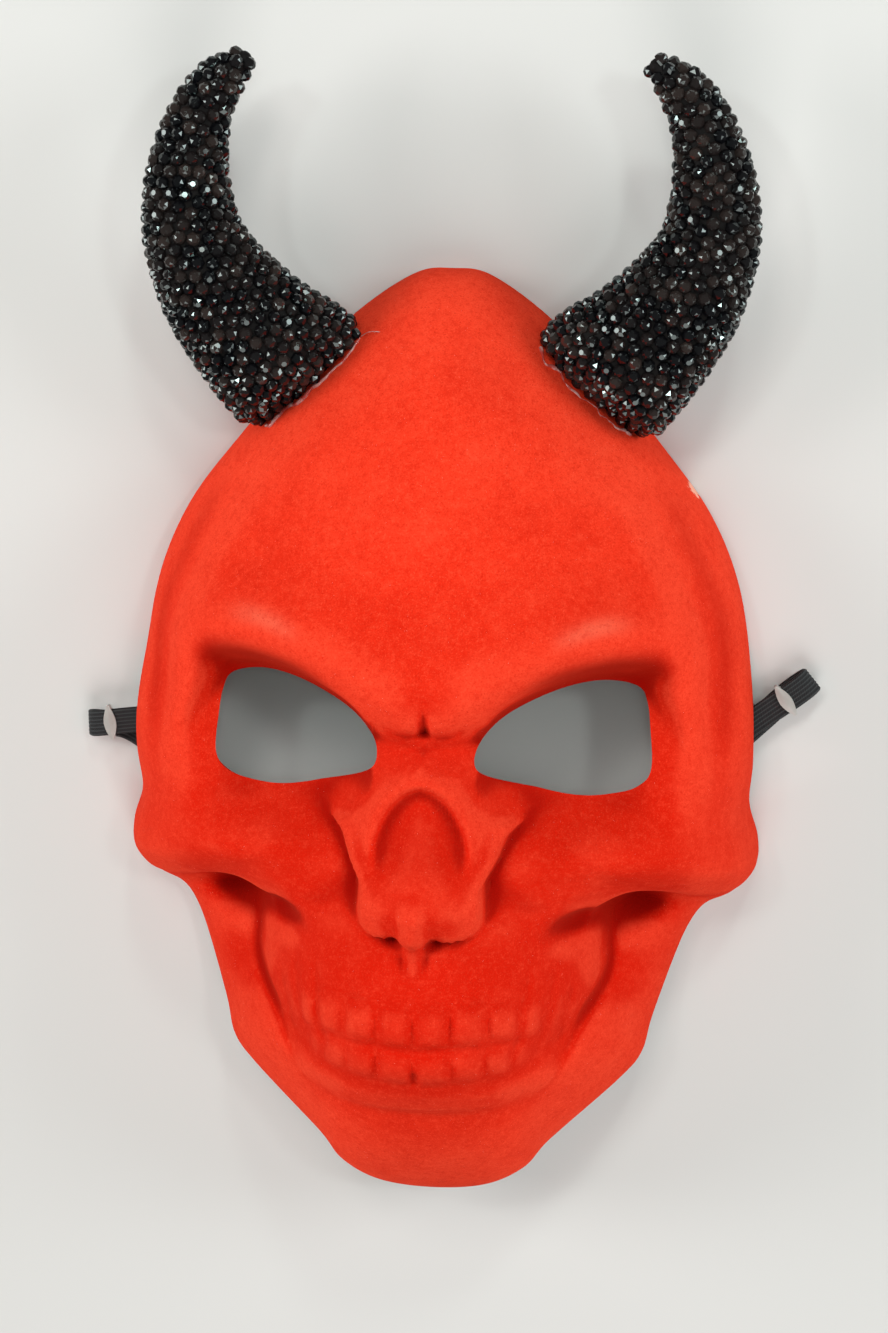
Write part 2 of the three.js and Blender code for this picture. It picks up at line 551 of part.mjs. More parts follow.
// A tie is a flat pointed ring of clear plastic round the elastic's upper run.
function tieGeometry() {
  const [inX, inZ] = [STRAP_WIDTH / 2 + GAP, STRAP_THICKNESS / 2 + GAP];
  const outX = TIE_LENGTH / 2;
  const outZ = inZ + TIE_WALL;
  const ring = new THREE.Shape([
    [-outX, 0], [TIE_POINT - outX, -outZ], [outX - TIE_POINT, -outZ],
    [outX, 0], [outX - TIE_POINT, outZ], [TIE_POINT - outX, outZ],
  ].map(([x, z]) => new THREE.Vector2(x, z)));
  ring.holes.push(new THREE.Path([[-inX, -inZ], [-inX, inZ], [inX, inZ], [inX, -inZ]]
    .map(([x, z]) => new THREE.Vector2(x, z))));
  const geometry = new THREE.ExtrudeGeometry(ring, { depth: TIE_WIDTH, bevelEnabled: false });
  return geometry.translate(0, 0, -TIE_WIDTH / 2).rotateX(Math.PI / 2).rotateZ(Math.PI / 2);
}

const FLOCK_RED = new THREE.MeshStandardMaterial({ color: 0xe8321e, roughness: 1, metalness: 0 });
const STONE_BLACK = new THREE.MeshStandardMaterial({ color: 0x0b0b0d, roughness: 0.15, metalness: 0 });
const ELASTIC_BLACK = new THREE.MeshStandardMaterial({ color: 0x161618, roughness: 0.8, metalness: 0 });
const CLEAR_PLASTIC = new THREE.MeshStandardMaterial({ color: 0xe8e6ea, roughness: 0.35, metalness: 0 });

function piece(name, geometry, material) {
  const mesh = new THREE.Mesh(geometry, material);
  mesh.name = name;
  return mesh;
}

const mask = new THREE.Group();
mask.add(piece('mask_shell', maskShell(), FLOCK_RED));
for (const settings of HORNS) mask.add(piece(settings.name, horn(settings), STONE_BLACK));
mask.add(piece('elastic_strap', strapGeometry(), ELASTIC_BLACK));
for (const { name, place, turn } of TIES) {
  const tie = piece(name, tieGeometry(), CLEAR_PLASTIC);
  tie.position.set(...place);
  tie.rotation.z = turn;
  mask.add(tie);
}

export default mask;
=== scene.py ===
# A skull devil mask of thin flocked plastic with stone-studded horns and an elastic strap,
# lying face up on a pale floor. The face's sizes are millimetres, as on a maker's drawing;
# MM turns them into the scene's metres.
import math
import random

import bpy
import numpy as np
from mathutils import Matrix, Vector


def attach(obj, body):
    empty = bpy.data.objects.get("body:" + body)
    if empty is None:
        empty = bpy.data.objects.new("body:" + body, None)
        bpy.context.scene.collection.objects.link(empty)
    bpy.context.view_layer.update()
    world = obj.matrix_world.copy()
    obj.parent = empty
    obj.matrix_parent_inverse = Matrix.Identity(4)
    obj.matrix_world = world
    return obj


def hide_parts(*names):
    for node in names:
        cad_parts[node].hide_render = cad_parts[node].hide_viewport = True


bl_info = {
    "name": "Devil Mask",
    "version": (1, 0, 0),
    "blender": (4, 5, 0),
    "location": "View3D > Sidebar > Devil Mask",
    "description": "Builds a flocked skull devil mask with stone-studded horns and a strap",
    "category": "Add Mesh",
}

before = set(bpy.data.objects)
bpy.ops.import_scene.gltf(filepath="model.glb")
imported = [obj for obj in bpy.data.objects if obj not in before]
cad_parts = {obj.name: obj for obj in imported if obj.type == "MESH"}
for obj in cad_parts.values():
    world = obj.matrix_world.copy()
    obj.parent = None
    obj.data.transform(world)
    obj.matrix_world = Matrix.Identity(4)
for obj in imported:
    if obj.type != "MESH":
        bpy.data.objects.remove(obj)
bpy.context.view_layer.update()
BODY = "root"
MM = 0.001

# The camera stands over the lying mask as the photograph was taken.
FRAME_HEIGHT = 1333              # pixels of the photograph
CAMERA_DISTANCE = 750
PIXEL_SIZE = 0.2729              # at the plane of the rim, seen from that distance
CAMERA_TURN = math.radians(-5)
CAMERA_TILT = math.radians(14)
CAMERA_ROLL = math.radians(-0.88)
AIM_X, AIM_Y = -0.85, -9.5       # the frame's middle: across the picture, and up the face
SENSOR = 24

CENTRE_Y = -17                   # the face's middle, which the outline is measured from
DOME_HEIGHT = 64
JAW_PLANE_HEIGHT = 41
TEMPLE_LIFT = 10
TEMPLE_Y = -24
TEMPLE_REACH = 26

# Half of the rim's outline, from the crown to the chin.
OUTLINE = [
    (0, 98.7), (10, 97.2), (25, 87), (41, 71.2), (57.5, 51.8), (70.3, 34.5), (78.5, 15),
    (82.6, -9), (83.8, -30), (83.5, -44), (86.2, -54), (86, -62), (80.5, -69), (73, -72.8),
    (68.5, -78.5), (64.5, -88), (59.2, -104), (56.8, -113.5), (51, -121), (32.5, -139),
    (25.5, -147.5), (15, -152.8), (0, -154.3),
]
# One eye hole, and the four of its points that a square's corners go to.
EYE = [
    (52.8, -3.7), (44.8, -1.6), (36.4, -2.1), (27, -5), (18.5, -9.6), (13.6, -15),
    (12.5, -19.5), (15.5, -22.9), (24, -27.2), (36, -30.9), (46, -31.5), (53.5, -29.6),
    (56.8, -24.5), (56.2, -14), (55.2, -7.5),
]
EYE_CORNERS = [(14.4, -22), (54.6, -28.8), (54.3, -4.9), (13.8, -14.6)]

# The brow's crest, from between the eyes to the outer corner.
BROW = [
    (0, -6.5), (5, -4.6), (9, -2), (14, 1.8), (23, 7.4), (33.5, 12), (43.5, 14.2),
    (52.5, 13.6), (59.5, 10.6), (64.5, 5.6), (66.8, -1), (67.8, -9),
]
BROW_UNDERSIDE = [
    (0, -11), (7.5, -10.8), (12.6, -7.4), (21, 0), (30, 5.2), (42, 8.6), (51, 8.4),
    (57, 6), (61, 2), (64, -4), (67, -12), (74, -20),
]
ORBIT_FLOOR_START = [
    (0, -16), (8, -17.5), (12.5, -16.5), (18.5, -10.4), (27, -6.2), (36.4, -3.6), (44.8, -3.2),
    (52.8, -4.8), (57, -8.5), (61, -15), (67, -24), (74, -30),
]
TEMPLE_LINE = [
    (70, -34), (68.6, -23), (67.6, -10), (67.4, -1), (66.7, 5.3), (65, 12), (62.3, 18),
    (57, 29), (50, 41), (42, 52),
]
CHEEK_CREST = [(28, -48), (38, -44.5), (48, -43), (60, -43.5), (72, -46.5), (86, -53)]
CHEEK_SHELF = [
    (94, -67), (82, -67), (70, -65), (61, -61.8), (54, -60.8), (49, -62), (45, -65.5),
    (41.5, -74), (37, -84), (30, -96),
]
BROW_CREASE = [(-5, -11.7), (0, -11.5), (4.5, -11.9), (8.5, -10.8), (12.5, -7.6)]
MOUTH_CREASE = [
    (46.6, -68), (46.6, -76), (46.4, -82), (45, -88), (41.8, -93.5), (38.4, -98.8),
    (35.4, -103.5), (32, -109),
]
NOSE_ARCH = [(0, -21.2), (4.5, -22.6), (9, -26.6), (12, -31.4), (13.8, -37), (14.2, -44)]
NOSE_CREASE = [(24.6, -35), (22, -37.6), (20.4, -41), (18.6, -45), (16.4, -49), (16, -54)]
ARCH_GROOVE = [(0, -26.8), (4.4, -28), (7.6, -32), (9, -36.6), (9.9, -41.6), (10.2, -47)]
SEPTUM_OFF = 1.3                 # the septum and the bite sit a little left of the middle
BITE_OFF = 0.7
TOOTH_FOLDS = [
    [(28, -68), (27.5, -74), (26.9, -80), (26.4, -86), (25.5, -91), (23.5, -96.5), (21, -101)],
    [(33.6, -72), (33.4, -79), (32.7, -86), (31, -93), (29.7, -100.5)],
    [(38, -78), (37.6, -85), (36.3, -92), (34.8, -98), (33, -103)],
]
# Half of each row of teeth: edges from the middle out, the row's top and bottom, and relief.
UPPER_TEETH = {
    "edges": [0, 9.4, 18.4, 26.3, 33.2], "top": [(0, -79.8), (20, -80), (34, -82.4)],
    "bottom": [(0, -91.4), (18, -90.3), (26, -91.3), (34, -93.5)], "relief": [2.6, 2.6, 2.3, 1.5],
}
LOWER_TEETH = {
    "edges": [0, 9.7, 17.9, 24.7, 30.6], "top": [(0, -92.4), (18, -91.4), (26, -92.4), (34, -94.5)],
    "bottom": [(0, -102.8), (18, -101.6), (32, -101.6)], "relief": [2.0, 2.0, 1.8, 1.1],
}

# A horn from its foot to its tip: the middle's place, half width and half depth over the stones.
HORN_STATIONS = [
    (33.5, 65.5, 8, 14, 8), (37.6, 70.8, 16, 19.6, 15.5), (41.5, 75, 19.5, 20.2, 16.6),
    (49.5, 82.6, 22, 18.3, 15.4), (59, 94.3, 24.5, 15.9, 13.8), (65.3, 107, 26, 13.2, 11.8),
    (66.9, 119, 27, 11.5, 10.4), (65.8, 130, 27.5, 9.7, 8.9), (62.6, 140.4, 28, 7.8, 7.2),
    (57.6, 147.8, 28.5, 6.2, 5.9), (52.4, 152.2, 29, 3.8, 3.8),
]
HORN_LEAN = 0.25                 # how far the foot's sections lean along the horn

# Out of the left temple, round a bend, across behind the face, and the same way in on the right.
STRAP_ROUTE = [
    (-79.4, -24.8, 18), (-80.2, -25, 14), (-80.7, -25.2, 10.4), (-82.2, -25.5, 7.6),
    (-85, -26, 6.7), (-89.5, -26.6, 6.7), (-94, -27.3, 6.7), (-97.2, -27.9, 5.6),
    (-98.2, -28.1, 3.7), (-97, -28.5, 1.7), (-93.5, -28.9, 0.8), (-89, -29.6, 0.7),
    (-84.5, -31.9, 0.7), (-79, -36, 0.7), (-72, -42.4, 0.7), (-62, -50.8, 0.7),
    (-50, -57.6, 0.7), (-36, -63, 0.7), (-18, -67, 0.7), (0, -68.3, 0.7), (20, -66, 0.7),
    (38, -59.5, 0.7), (52, -50.8, 0.7), (64, -41, 0.7), (76, -30.2, 0.7), (86, -20.4, 0.7),
    (93, -13.3, 0.8), (97.2, -9.7, 1.7), (98.6, -8.4, 3.7), (97.4, -9.4, 5.6), (94, -12, 6.7),
    (89.5, -15.4, 6.6), (85, -18.9, 6.5), (81.1, -21.9, 7.2), (78.8, -23.4, 10), (78, -24, 14),
    (77.1, -24.3, 18),
]
STRAP_STEPS = 300
# Each tie's place on the strap, and its turn about Z in radians.
TIES = {
    "tie_left": ((-92, -27, 6.7), 0.14),
    "tie_right": ((91.8, -13.7, 6.7), 0.65),
}
TIE_ALONG, TIE_ACROSS = 2.8, 9.6
TIE_HOLE_LENGTH = 6              # the hole's cutter stands out at both sides of the tie
TIE_PLAY_ACROSS, TIE_PLAY_THROUGH = 0.2, 0.3

STONE_INSET = 1.6                # the horn's own surface lies this far below the stones' tops
STONE_SIDES = 7
STONE_ROW_STEP = 0.0028          # share of the horn's length from one row of tries to the next
STONE_TRY_STEP = 0.4
STONES_NEAR = 200                # only the last ones set can lie near the next one
STONE_TILT = 0.16                # how far a hand-set stone leans, as a share of its upright
STONE_OVER_DOME = 0.4
STONE_LOWEST = 1.6
CORE_TIP = 0.12                  # share of the core's rows that round off its tip

# Where the flock shines and where it lies in shade, on both halves of the face.
SHINING_BROW = [(30, 11.5), (37, 15), (45, 16.6), (54, 15.6)]
SHADE_UNDER_BROW = [(20, -5), (26, -0.6), (33, 1.9), (43, 3.6), (55, 4.2), (64, 0)]
SHADE_UNDER_LIP_Y = -104.5
# Painted light and shade by height up the face: at 1 the flock takes more of its paler tint, at 0
# its deeper tint.
PALER_AT = [
    (-154, 0.8), (-125, 0.6), (-108, 0.35), (-98, 0), (-80, 0), (-60, 0.05), (-30, 0.25),
    (0, 0.5), (50, 1),
]
TORN_PLACE = (66, 42)

# Where a grid crowds together: middle, width and weight, from -1 to 1 across or up.
RIM_CROWDS = [(-1, 0.1, 1.6), (1, 0.1, 1.6)]
COLUMN_CROWDS = [*RIM_CROWDS, (0, 0.36, 1.0)]
ROW_CROWDS = [(-1, 0.07, 1.4), (1, 0.08, 1.4), (-0.42, 0.25, 1.0), (0.0, 0.16, 0.5)]
# The window of the grid that is fitted to an eye hole, and how long the rest is eased.
EYE_SIDES, EYE_ENDS = (13, 56.3), (-31.4, -2)
EYE_MIDDLE = (36, -17)
EASING_ROUNDS = 700


# Numbers and curves

def smooth(t):
    t = np.clip(t, 0, 1)
    return t * t * (3 - 2 * t)


def ramp(start, end, value):
    return smooth((value - start) / (end - start))


def bell(distance, width):
    return np.exp(-((distance / width) ** 2))


def along(stations, at):
    """A smooth curve through (place, value) stations, read at many places."""
    places, values = np.array(sorted(stations), float).T
    rise = np.diff(values) / np.diff(places)
    slopes = np.concatenate([rise[:1], (rise[1:] + rise[:-1]) / 2, rise[-1:]])
    at = np.clip(at, places[0], places[-1])
    i = np.clip(np.searchsorted(places, at) - 1, 0, len(places) - 2)
    step = places[i + 1] - places[i]
    t = (at - places[i]) / step
    return ((2 * t**3 - 3 * t**2 + 1) * values[i] + (t**3 - 2 * t**2 + t) * step * slopes[i]
            + (3 * t**2 - 2 * t**3) * values[i + 1] + (t**3 - t**2) * step * slopes[i + 1])


def smooth_line(points, detail=8, closed=False):
    """Short pieces of a smooth line through the points."""
    points = np.array(points, float)
    if closed:
        around = np.vstack([points[-1:], points, points[:2]])
    else:
        around = np.vstack([points[:1], points, points[-1:]])
    t = (np.arange(detail) / detail)[:, None]
    line = []
    for a, b, c, d in zip(around, around[1:], around[2:], around[3:]):
        line.append(0.5 * (2 * b + (c - a) * t + (2 * a - 5 * b + 4 * c - d) * t**2
                           + (3 * b - a - 3 * c + d) * t**3))
    return np.vstack(line + ([] if closed else [points[-1:]]))


def nearest(points, x, y):
    """Distance to a smooth line, share of the way along it, and side: + on the left of travel."""
    line = smooth_line(points, 8)
    best = np.full(np.shape(x), np.inf)
    share = np.zeros(np.shape(x))
    side = np.zeros(np.shape(x))
    lengths = np.hypot(*np.diff(line, axis=0).T)
    total = lengths.sum()
    passed = 0
    for a, b, length in zip(line, line[1:], lengths):
        dx, dy = b - a
        t = np.clip(((x - a[0]) * dx + (y - a[1]) * dy) / length**2, 0, 1)
        px, py = x - a[0] - t * dx, y - a[1] - t * dy
        distance = np.hypot(px, py)
        closer = distance < best
        best = np.where(closer, distance, best)
        share = np.where(closer, (passed + t * length) / total, share)
        side = np.where(closer, np.sign(dx * py - dy * px), side)
        passed += length
    return best, share, side


def rightward(distance, side):
    """What nearest() finds, as a distance above 0 on the right of travel and below 0 on the left."""
    return np.where(side < 0, distance, -distance)


def fading(share, start, end):
    """1 along a line, coming up from 0 and going down to 0 over these shares of it."""
    return smooth(share / start) * smooth((1 - share) / end)


def groove(points, width, depth, fade, x, y):
    distance, share, _ = nearest(points, x, y)
    return -depth * fading(share, fade, fade) * bell(distance, width)


def bump(x, y, cx, cy, rx, ry, height):
    return height * bell(x - cx, rx) * bell(y - cy, ry)


def blend_max(a, b, width):
    """The higher of two heights, with a soft crease where they cross."""
    h = np.clip(0.5 + 0.5 * (a - b) / width, 0, 1)
    return b + (a - b) * h + width * h * (1 - h)


# The carved face, as a height over the rim's plane

def rim_table():
    mirrored = [(-OUTLINE[1][0], OUTLINE[1][1]), *OUTLINE, (-OUTLINE[-2][0], OUTLINE[-2][1])]
    line = smooth_line(mirrored, 40)
    reach = np.hypot(line[:, 0], line[:, 1] - CENTRE_Y)
    angle = np.arctan2(line[:, 1] - CENTRE_Y, line[:, 0])
    order = np.argsort(angle)
    return angle[order], reach[order]


RIM_TABLE = rim_table()


def rim_reach(x, y):
    return np.interp(np.arctan2(y - CENTRE_Y, np.abs(x)), *RIM_TABLE)


def rim_height(y):
    lift = TEMPLE_LIFT * smooth(1 - np.abs(y - TEMPLE_Y) / TEMPLE_REACH)
    jaw_rise = [(-154, 15), (-140, 14), (-120, 12), (-100, 8), (-80, 3), (-68, 0), (-60, 0)]
    return lift + np.maximum(0, along(jaw_rise, y))


def skull_form(x, y, share, rim):
    """The big form: dome, cheeks and the low plane of the jaw beside the teeth."""
    distance, _, side = nearest(CHEEK_SHELF, x, y)
    inward = rightward(distance, side)
    face = along([(-56, DOME_HEIGHT), (-70, 60), (-84, 48), (-94, JAW_PLANE_HEIGHT)], y)
    face = face - 8 * (1 - ramp(-2, 12, inward))
    top = JAW_PLANE_HEIGHT + (face - JAW_PLANE_HEIGHT) * ramp(-2.5, 2.5, inward)
    z = rim + (top - rim) * (1 - share**2.3) ** 0.55
    distance, place, _ = nearest(CHEEK_CREST, x, y)
    z = z + 2.4 * smooth(place / 0.3) * bell(distance, 10) * smooth((1 - share) / 0.06)
    z = z + bump(x, y, 78, 4, 7, 24, -1.5) * smooth((1 - share) / 0.08)
    distance, place, side = nearest(TEMPLE_LINE, x, y)
    lower = bell(distance, 4) - 1.6 * ramp(-2, 9, rightward(distance, side))
    return z + lower * fading(place, 0.25, 0.35) * smooth((1 - share) / 0.1)


def orbit(x, y):
    """The brow rolls over from its crest, and the eye lies deeper under it."""
    rounded = np.hypot(x, 5 * ramp(-6, 6, y))
    distance, share, side = nearest(BROW, rounded, y)
    height = along([(0, 4.8), (0.12, 6.4), (0.3, 7.8), (0.5, 8.4), (0.65, 7.6), (0.78, 5),
                    (0.9, 1.8), (1, 0)], share)
    outer_spread = along([(0, 11.5), (0.45, 11.5), (0.65, 9), (0.85, 7.5), (1, 7)], share)
    inner_spread = along([(0, 7), (0.3, 8.5), (0.65, 8.5), (1, 7)], share)
    roll = height * bell(distance, np.where(side > 0, outer_spread, inner_spread))
    top, floor = along(BROW_UNDERSIDE, x), along(ORBIT_FLOOR_START, x)
    into = ramp(0, 1, (top - y) / (top - floor))
    depth = along([(0, 3), (8, 5.5), (14, 9), (20, 12), (30, 14.5), (40, 15.5), (48, 15), (54, 12),
                   (60, 7), (66, 2), (71, 0)], x)
    bowl = depth * into * ramp(-50, -29, y)
    return roll - bowl + bump(x, y, 57, 1, 5, 5, -3)


def muzzle(x, y):
    half_width = along([(-50, 45), (-62, 46.6), (-76, 46.6), (-82, 46.3), (-88, 44.8),
                        (-93.5, 41.8), (-98.8, 38.4), (-104, 35), (-109, 32), (-114, 28),
                        (-122, 20)], y)
    middle = along([(-48, 62), (-56, 68), (-62, 71.5), (-70, 72.5), (-77, 73.5), (-84, 75),
                    (-91, 75), (-98, 73.6), (-103, 70.5), (-107, 66.5), (-111, 61), (-116, 53),
                    (-122, 43)], y)
    edge = along([(-50, 32), (-66, 30), (-77, 31), (-88, 34), (-99, 40), (-105, 43),
                  (-110, 41), (-116, 35)], y)
    share = np.clip(x / half_width, 0, 1.3)
    side_drop = (middle - edge) * share**2.5 + 60 * ramp(1, 1.3, share)
    return middle - side_drop - 90 * ramp(-112, -126, y)


def jaw(x, y, share, rim):
    middle = along([(-70, 36), (-80, 45), (-90, 56), (-98, 65), (-104, 68.6), (-110, 69),
                    (-118, 67.6), (-126, 66), (-134, 64.3), (-142, 62), (-154, 60)], y)
    top = middle * np.sqrt(np.clip(1 - (x / 70) ** 2, 0.02, 1))
    return rim + (top - rim) * (1 - share**4.5) ** 0.6


def teeth(row, x, y):
    high, low = along(row["top"], x), along(row["bottom"], x)
    up = np.abs((y - (high + low) / 2) / ((high - low) / 2))
    total = np.zeros_like(x)
    for left, right, height in zip(row["edges"], row["edges"][1:], row["relief"]):
        out = np.abs((x - (left + right) / 2) / ((right - left) / 2))
        inside = (x >= left) & (x < right)
        total += np.where(inside, height * (1 - 0.8 * out**3.5), 0)
    return total * np.clip(1 - up**2.4, 0, 1) ** 0.85 * ramp(0, 4, row["edges"][-1] - x)


def nose(signed_x, y, z):
    """A raised keystone with an arched hollow, two lobes and a narrow septum below."""
    x, beside = np.abs(signed_x), np.abs(signed_x + SEPTUM_OFF)
    middle = along([(-10, 64), (-14, 65.5), (-18, 68.5), (-22, 71), (-27, 72), (-34, 73),
                    (-42, 76), (-49, 78.8), (-54, 80), (-59, 78), (-64, 75.2)], y)
    edge = along([(-16, 15), (-24, 18), (-30, 20.5), (-34, 22.2), (-36.2, 22.6), (-37.8, 20.8),
                  (-40.8, 19.2), (-44.8, 17.4), (-48.8, 15.1), (-52.5, 14.8), (-57.8, 14.8),
                  (-60.8, 13.4), (-62.6, 9.5), (-63.2, 3)], y)
    outer = along([(-14, 12), (-26, 11), (-32, 9), (-35.5, 4), (-38, 3.2), (-64, 3)], y)
    inner = along([(-14, 12), (-26, 11), (-32, 7), (-35.5, 1.5), (-38, 0.6), (-64, 0.8)], y)
    drop = along([(-14, 14), (-20, 14), (-30, 11), (-36, 9.5), (-44, 9), (-52, 8), (-58, 7),
                  (-64, 6)], y)
    spread = along([(-16, 16), (-30, 20), (-40, 19), (-50, 16.5), (-64, 15.5)], y)
    form = middle - drop * np.clip(x / spread, 0, 1.5) ** 2
    cover = ramp(-outer, inner, edge - x) * ramp(-65.2, -62.2, y) * ramp(-10, -20, y)
    z = z + (form - z) * cover
    distance, share, side = nearest(NOSE_ARCH, x, y)
    inside = rightward(distance, side)
    z = z + 1.7 * bell(distance, 3.1) * smooth((1 - share) / 0.4)
    z = z - 2.2 * ramp(0.5, 4, inside) * (1 - 0.7 * ramp(4.5, 13, inside)) * ramp(-50, -38, y)
    z = z + groove(ARCH_GROOVE, 1.1, 0.45, 0.3, x, y)
    z = z + groove(NOSE_CREASE, 1.0, 1.3, 0.25, x, y)
    z = z + 2.2 * ramp(4.8, 1.8, beside) * ramp(-69, -62, y) * ramp(-49, -57, y)
    z = z + 1.4 * bell(beside, 1.9) * ramp(-75, -69, y) * ramp(-56, -62, y)
    z = z + groove([(4.2, -63), (3.4, -67), (2.6, -71), (2, -74.5)], 1.0, 0.9, 0.6, beside, y)
    return z + bump(beside, y, 5.2, -63.2, 2.0, 1.7, -3.6)


def face_height(signed_x, y):
    """The outer surface's height over the rim's plane, in millimetres."""
    x = np.abs(signed_x)
    share = np.clip(np.hypot(x, y - CENTRE_Y) / rim_reach(x, y), 0, 1)
    rim = rim_height(y)
    z = skull_form(x, y, share, rim) + orbit(x, y)
    z = np.where(y < -70, blend_max(jaw(x, y, share, rim), z, 4), z)
    z = z + (blend_max(muzzle(x, y), z, 3 + 12 * ramp(-95, -108, y)) - z) * ramp(-46, -62, y)
    z = z + groove(MOUTH_CREASE, 2.3, 2.2, 0.2, x, y)
    z = z + bump(x, y, 39, -65.5, 6, 3.6, -7.5) + bump(x, y, 54, -68, 8.5, 5, -12)
    for fold in TOOTH_FOLDS:
        z = z + groove(fold, 1.2, 0.9, 0.3, x, y)
    z = nose(signed_x, y, z)
    bite = np.abs(signed_x + BITE_OFF)
    z = z + teeth(UPPER_TEETH, bite, y) + teeth(LOWER_TEETH, bite, y)
    z = z + groove([(0, -97.5), (0, -102.5)], 0.8, 1.6, 0.2, bite, y)
    z = z - 3.2 * bell(nearest([(0, -5), (0, -11)], x, y)[0], 1.3) * ramp(-3, -9, y)
    z = z + groove(BROW_CREASE, 1.2, 1.5, 0.25, x, y) + bump(x, y, 0, -10.3, 1.7, 1.5, -1.3)
    z = z + bump(x, y, 0, 39, 18, 6, 0.8)
    return np.maximum(z, rim)


class Horn:
    """A horn through its stations, moved along X by an amount at its foot and at its tip."""

    def __init__(self, side, foot, tip):
        self.side = side
        self.moved = side * foot, side * tip

    def section(self, share):
        """Middle, level side direction, leaning up direction, half width and half depth."""
        places = np.linspace(0, 1, len(HORN_STATIONS))
        tracks = [list(zip(places, values)) for values in zip(*HORN_STATIONS)]
        middle = np.stack([along(track, share) for track in tracks[:3]], -1)
        middle[..., 0] += self.moved[0] * (1 - share) + self.moved[1] * share
        step = 1e-3
        low, high = np.maximum(share - step, 0), np.minimum(share + step, 1)
        ahead = np.stack([along(t, high) - along(t, low) for t in tracks[:2]], -1)
        ahead /= np.linalg.norm(ahead, axis=-1, keepdims=True)
        across = np.stack([ahead[..., 1], -ahead[..., 0], np.zeros_like(share)], -1)
        lean = HORN_LEAN * (1 - share)
        up = np.stack([ahead[..., 0] * lean, ahead[..., 1] * lean, np.ones_like(share)], -1)
        return middle, across, up, along(tracks[3], share), along(tracks[4], share)

    def point(self, share, angle, inset=0.0):
        """A point on the horn as it stands on the right; beyond share 1 the tip rounds off."""
        share, angle = np.broadcast_arrays(np.asarray(share, float), np.asarray(angle, float))
        over = np.clip(share - 1, 0, 1)
        middle, across, up, half_width, half_depth = self.section(np.clip(share, 0, 1))
        shrink = np.sqrt(np.clip(1 - over**2, 0, 1))
        ahead = np.stack([-across[..., 1], across[..., 0], np.zeros_like(over)], -1)
        wide = ((half_width - inset) * shrink * np.cos(angle))[..., None]
        high = ((half_depth - inset) * shrink * np.sin(angle))[..., None]
        return middle + ahead * ((half_width - inset) * over)[..., None] + across * wide + up * high


# The horns are glued on by hand, a little off their mirrored places.
HORNS = {"left": Horn(-1, 0.8, 1.4), "right": Horn(1, 2, 0)}


# Scene helpers

def deselect():
    if bpy.context.object and bpy.context.object.mode != "OBJECT":
        bpy.ops.object.mode_set(mode="OBJECT")
    bpy.ops.object.select_all(action="DESELECT")


def activate(obj):
    deselect()
    obj.select_set(True)
    bpy.context.view_layer.objects.active = obj


def named_primitive(name):
    obj = bpy.context.object
    obj.name = name
    obj.data.name = name
    return obj


def mesh_points(obj):
    flat = np.empty(len(obj.data.vertices) * 3, np.float64)
    obj.data.vertices.foreach_get("co", flat)
    return flat.reshape(-1, 3)


def set_mesh_points(obj, points):
    obj.data.vertices.foreach_set("co", np.asarray(points, np.float64).ravel())
    obj.data.update()


def apply_modifier(obj, kind, name="Shape", **settings):
    activate(obj)
    modifier = obj.modifiers.new(name, kind)
    for key, value in settings.items():
        setattr(modifier, key, value)
    bpy.ops.object.modifier_apply(modifier=modifier.name)


def edit_mesh(obj, *steps):
    """Runs edit-mode steps on the whole mesh."""
    activate(obj)
    bpy.ops.object.mode_set(mode="EDIT")
    bpy.ops.mesh.select_mode(type="VERT")
    bpy.ops.mesh.select_all(action="SELECT")
    for step in steps:
        step()
    bpy.ops.object.mode_set(mode="OBJECT")


def merge_doubles():
    bpy.ops.mesh.remove_doubles(threshold=1e-6)


def turn_normals_out():
    bpy.ops.mesh.normals_make_consistent(inside=False)


def shade(obj, angle=None):
    activate(obj)
    if angle is None:
        bpy.ops.object.shade_smooth()
    else:
        bpy.ops.object.shade_smooth_by_angle(angle=math.radians(angle))


def place_in_mesh(obj):
    activate(obj)
    bpy.ops.object.transform_apply(location=True, rotation=True, scale=True)


def mesh_object(name, points, faces):
    mesh = bpy.data.meshes.new(name)
    mesh.from_pydata([tuple(p) for p in points], [], faces)
    mesh.validate()
    obj = bpy.data.objects.new(name, mesh)
    bpy.context.scene.collection.objects.link(obj)
    return obj


def add_share(obj, name, values):
    """Keeps a number at each of the mesh's points, for its material to read."""
    attribute = obj.data.attributes.new(name, "FLOAT", "POINT")
    attribute.data.foreach_set("value", np.ravel(values).astype(np.float32))


def finish_piece(obj, material=None, node=None):
    """The last steps of a piece: its material, its body, and the CAD node it replaces."""
    if material:
        obj.data.materials.clear()
        obj.data.materials.append(material)
    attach(obj, BODY)
    if node:
        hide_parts(node)


# Materials

class Wire:
    """A socket's output, on which Python's own arithmetic adds Math nodes."""

    def __init__(self, finish, socket):
        self.finish = finish
        self.socket = socket

    def _math(self, operation, *values):
        return self.finish.node("ShaderNodeMath", {"operation": operation}, dict(enumerate(values)))

    def __add__(self, other):
        return self._math("ADD", self, other)

    def __sub__(self, other):
        return self._math("SUBTRACT", self, other)

    def __rsub__(self, other):
        return self._math("SUBTRACT", other, self)

    def __mul__(self, other):
        return self._math("MULTIPLY", self, other)

    def __gt__(self, other):
        return self._math("GREATER_THAN", self, other)

    __radd__ = __add__
    __rmul__ = __mul__

    def channel(self, index):
        return self.finish.node("ShaderNodeSeparateColor", {}, {0: self}, index)


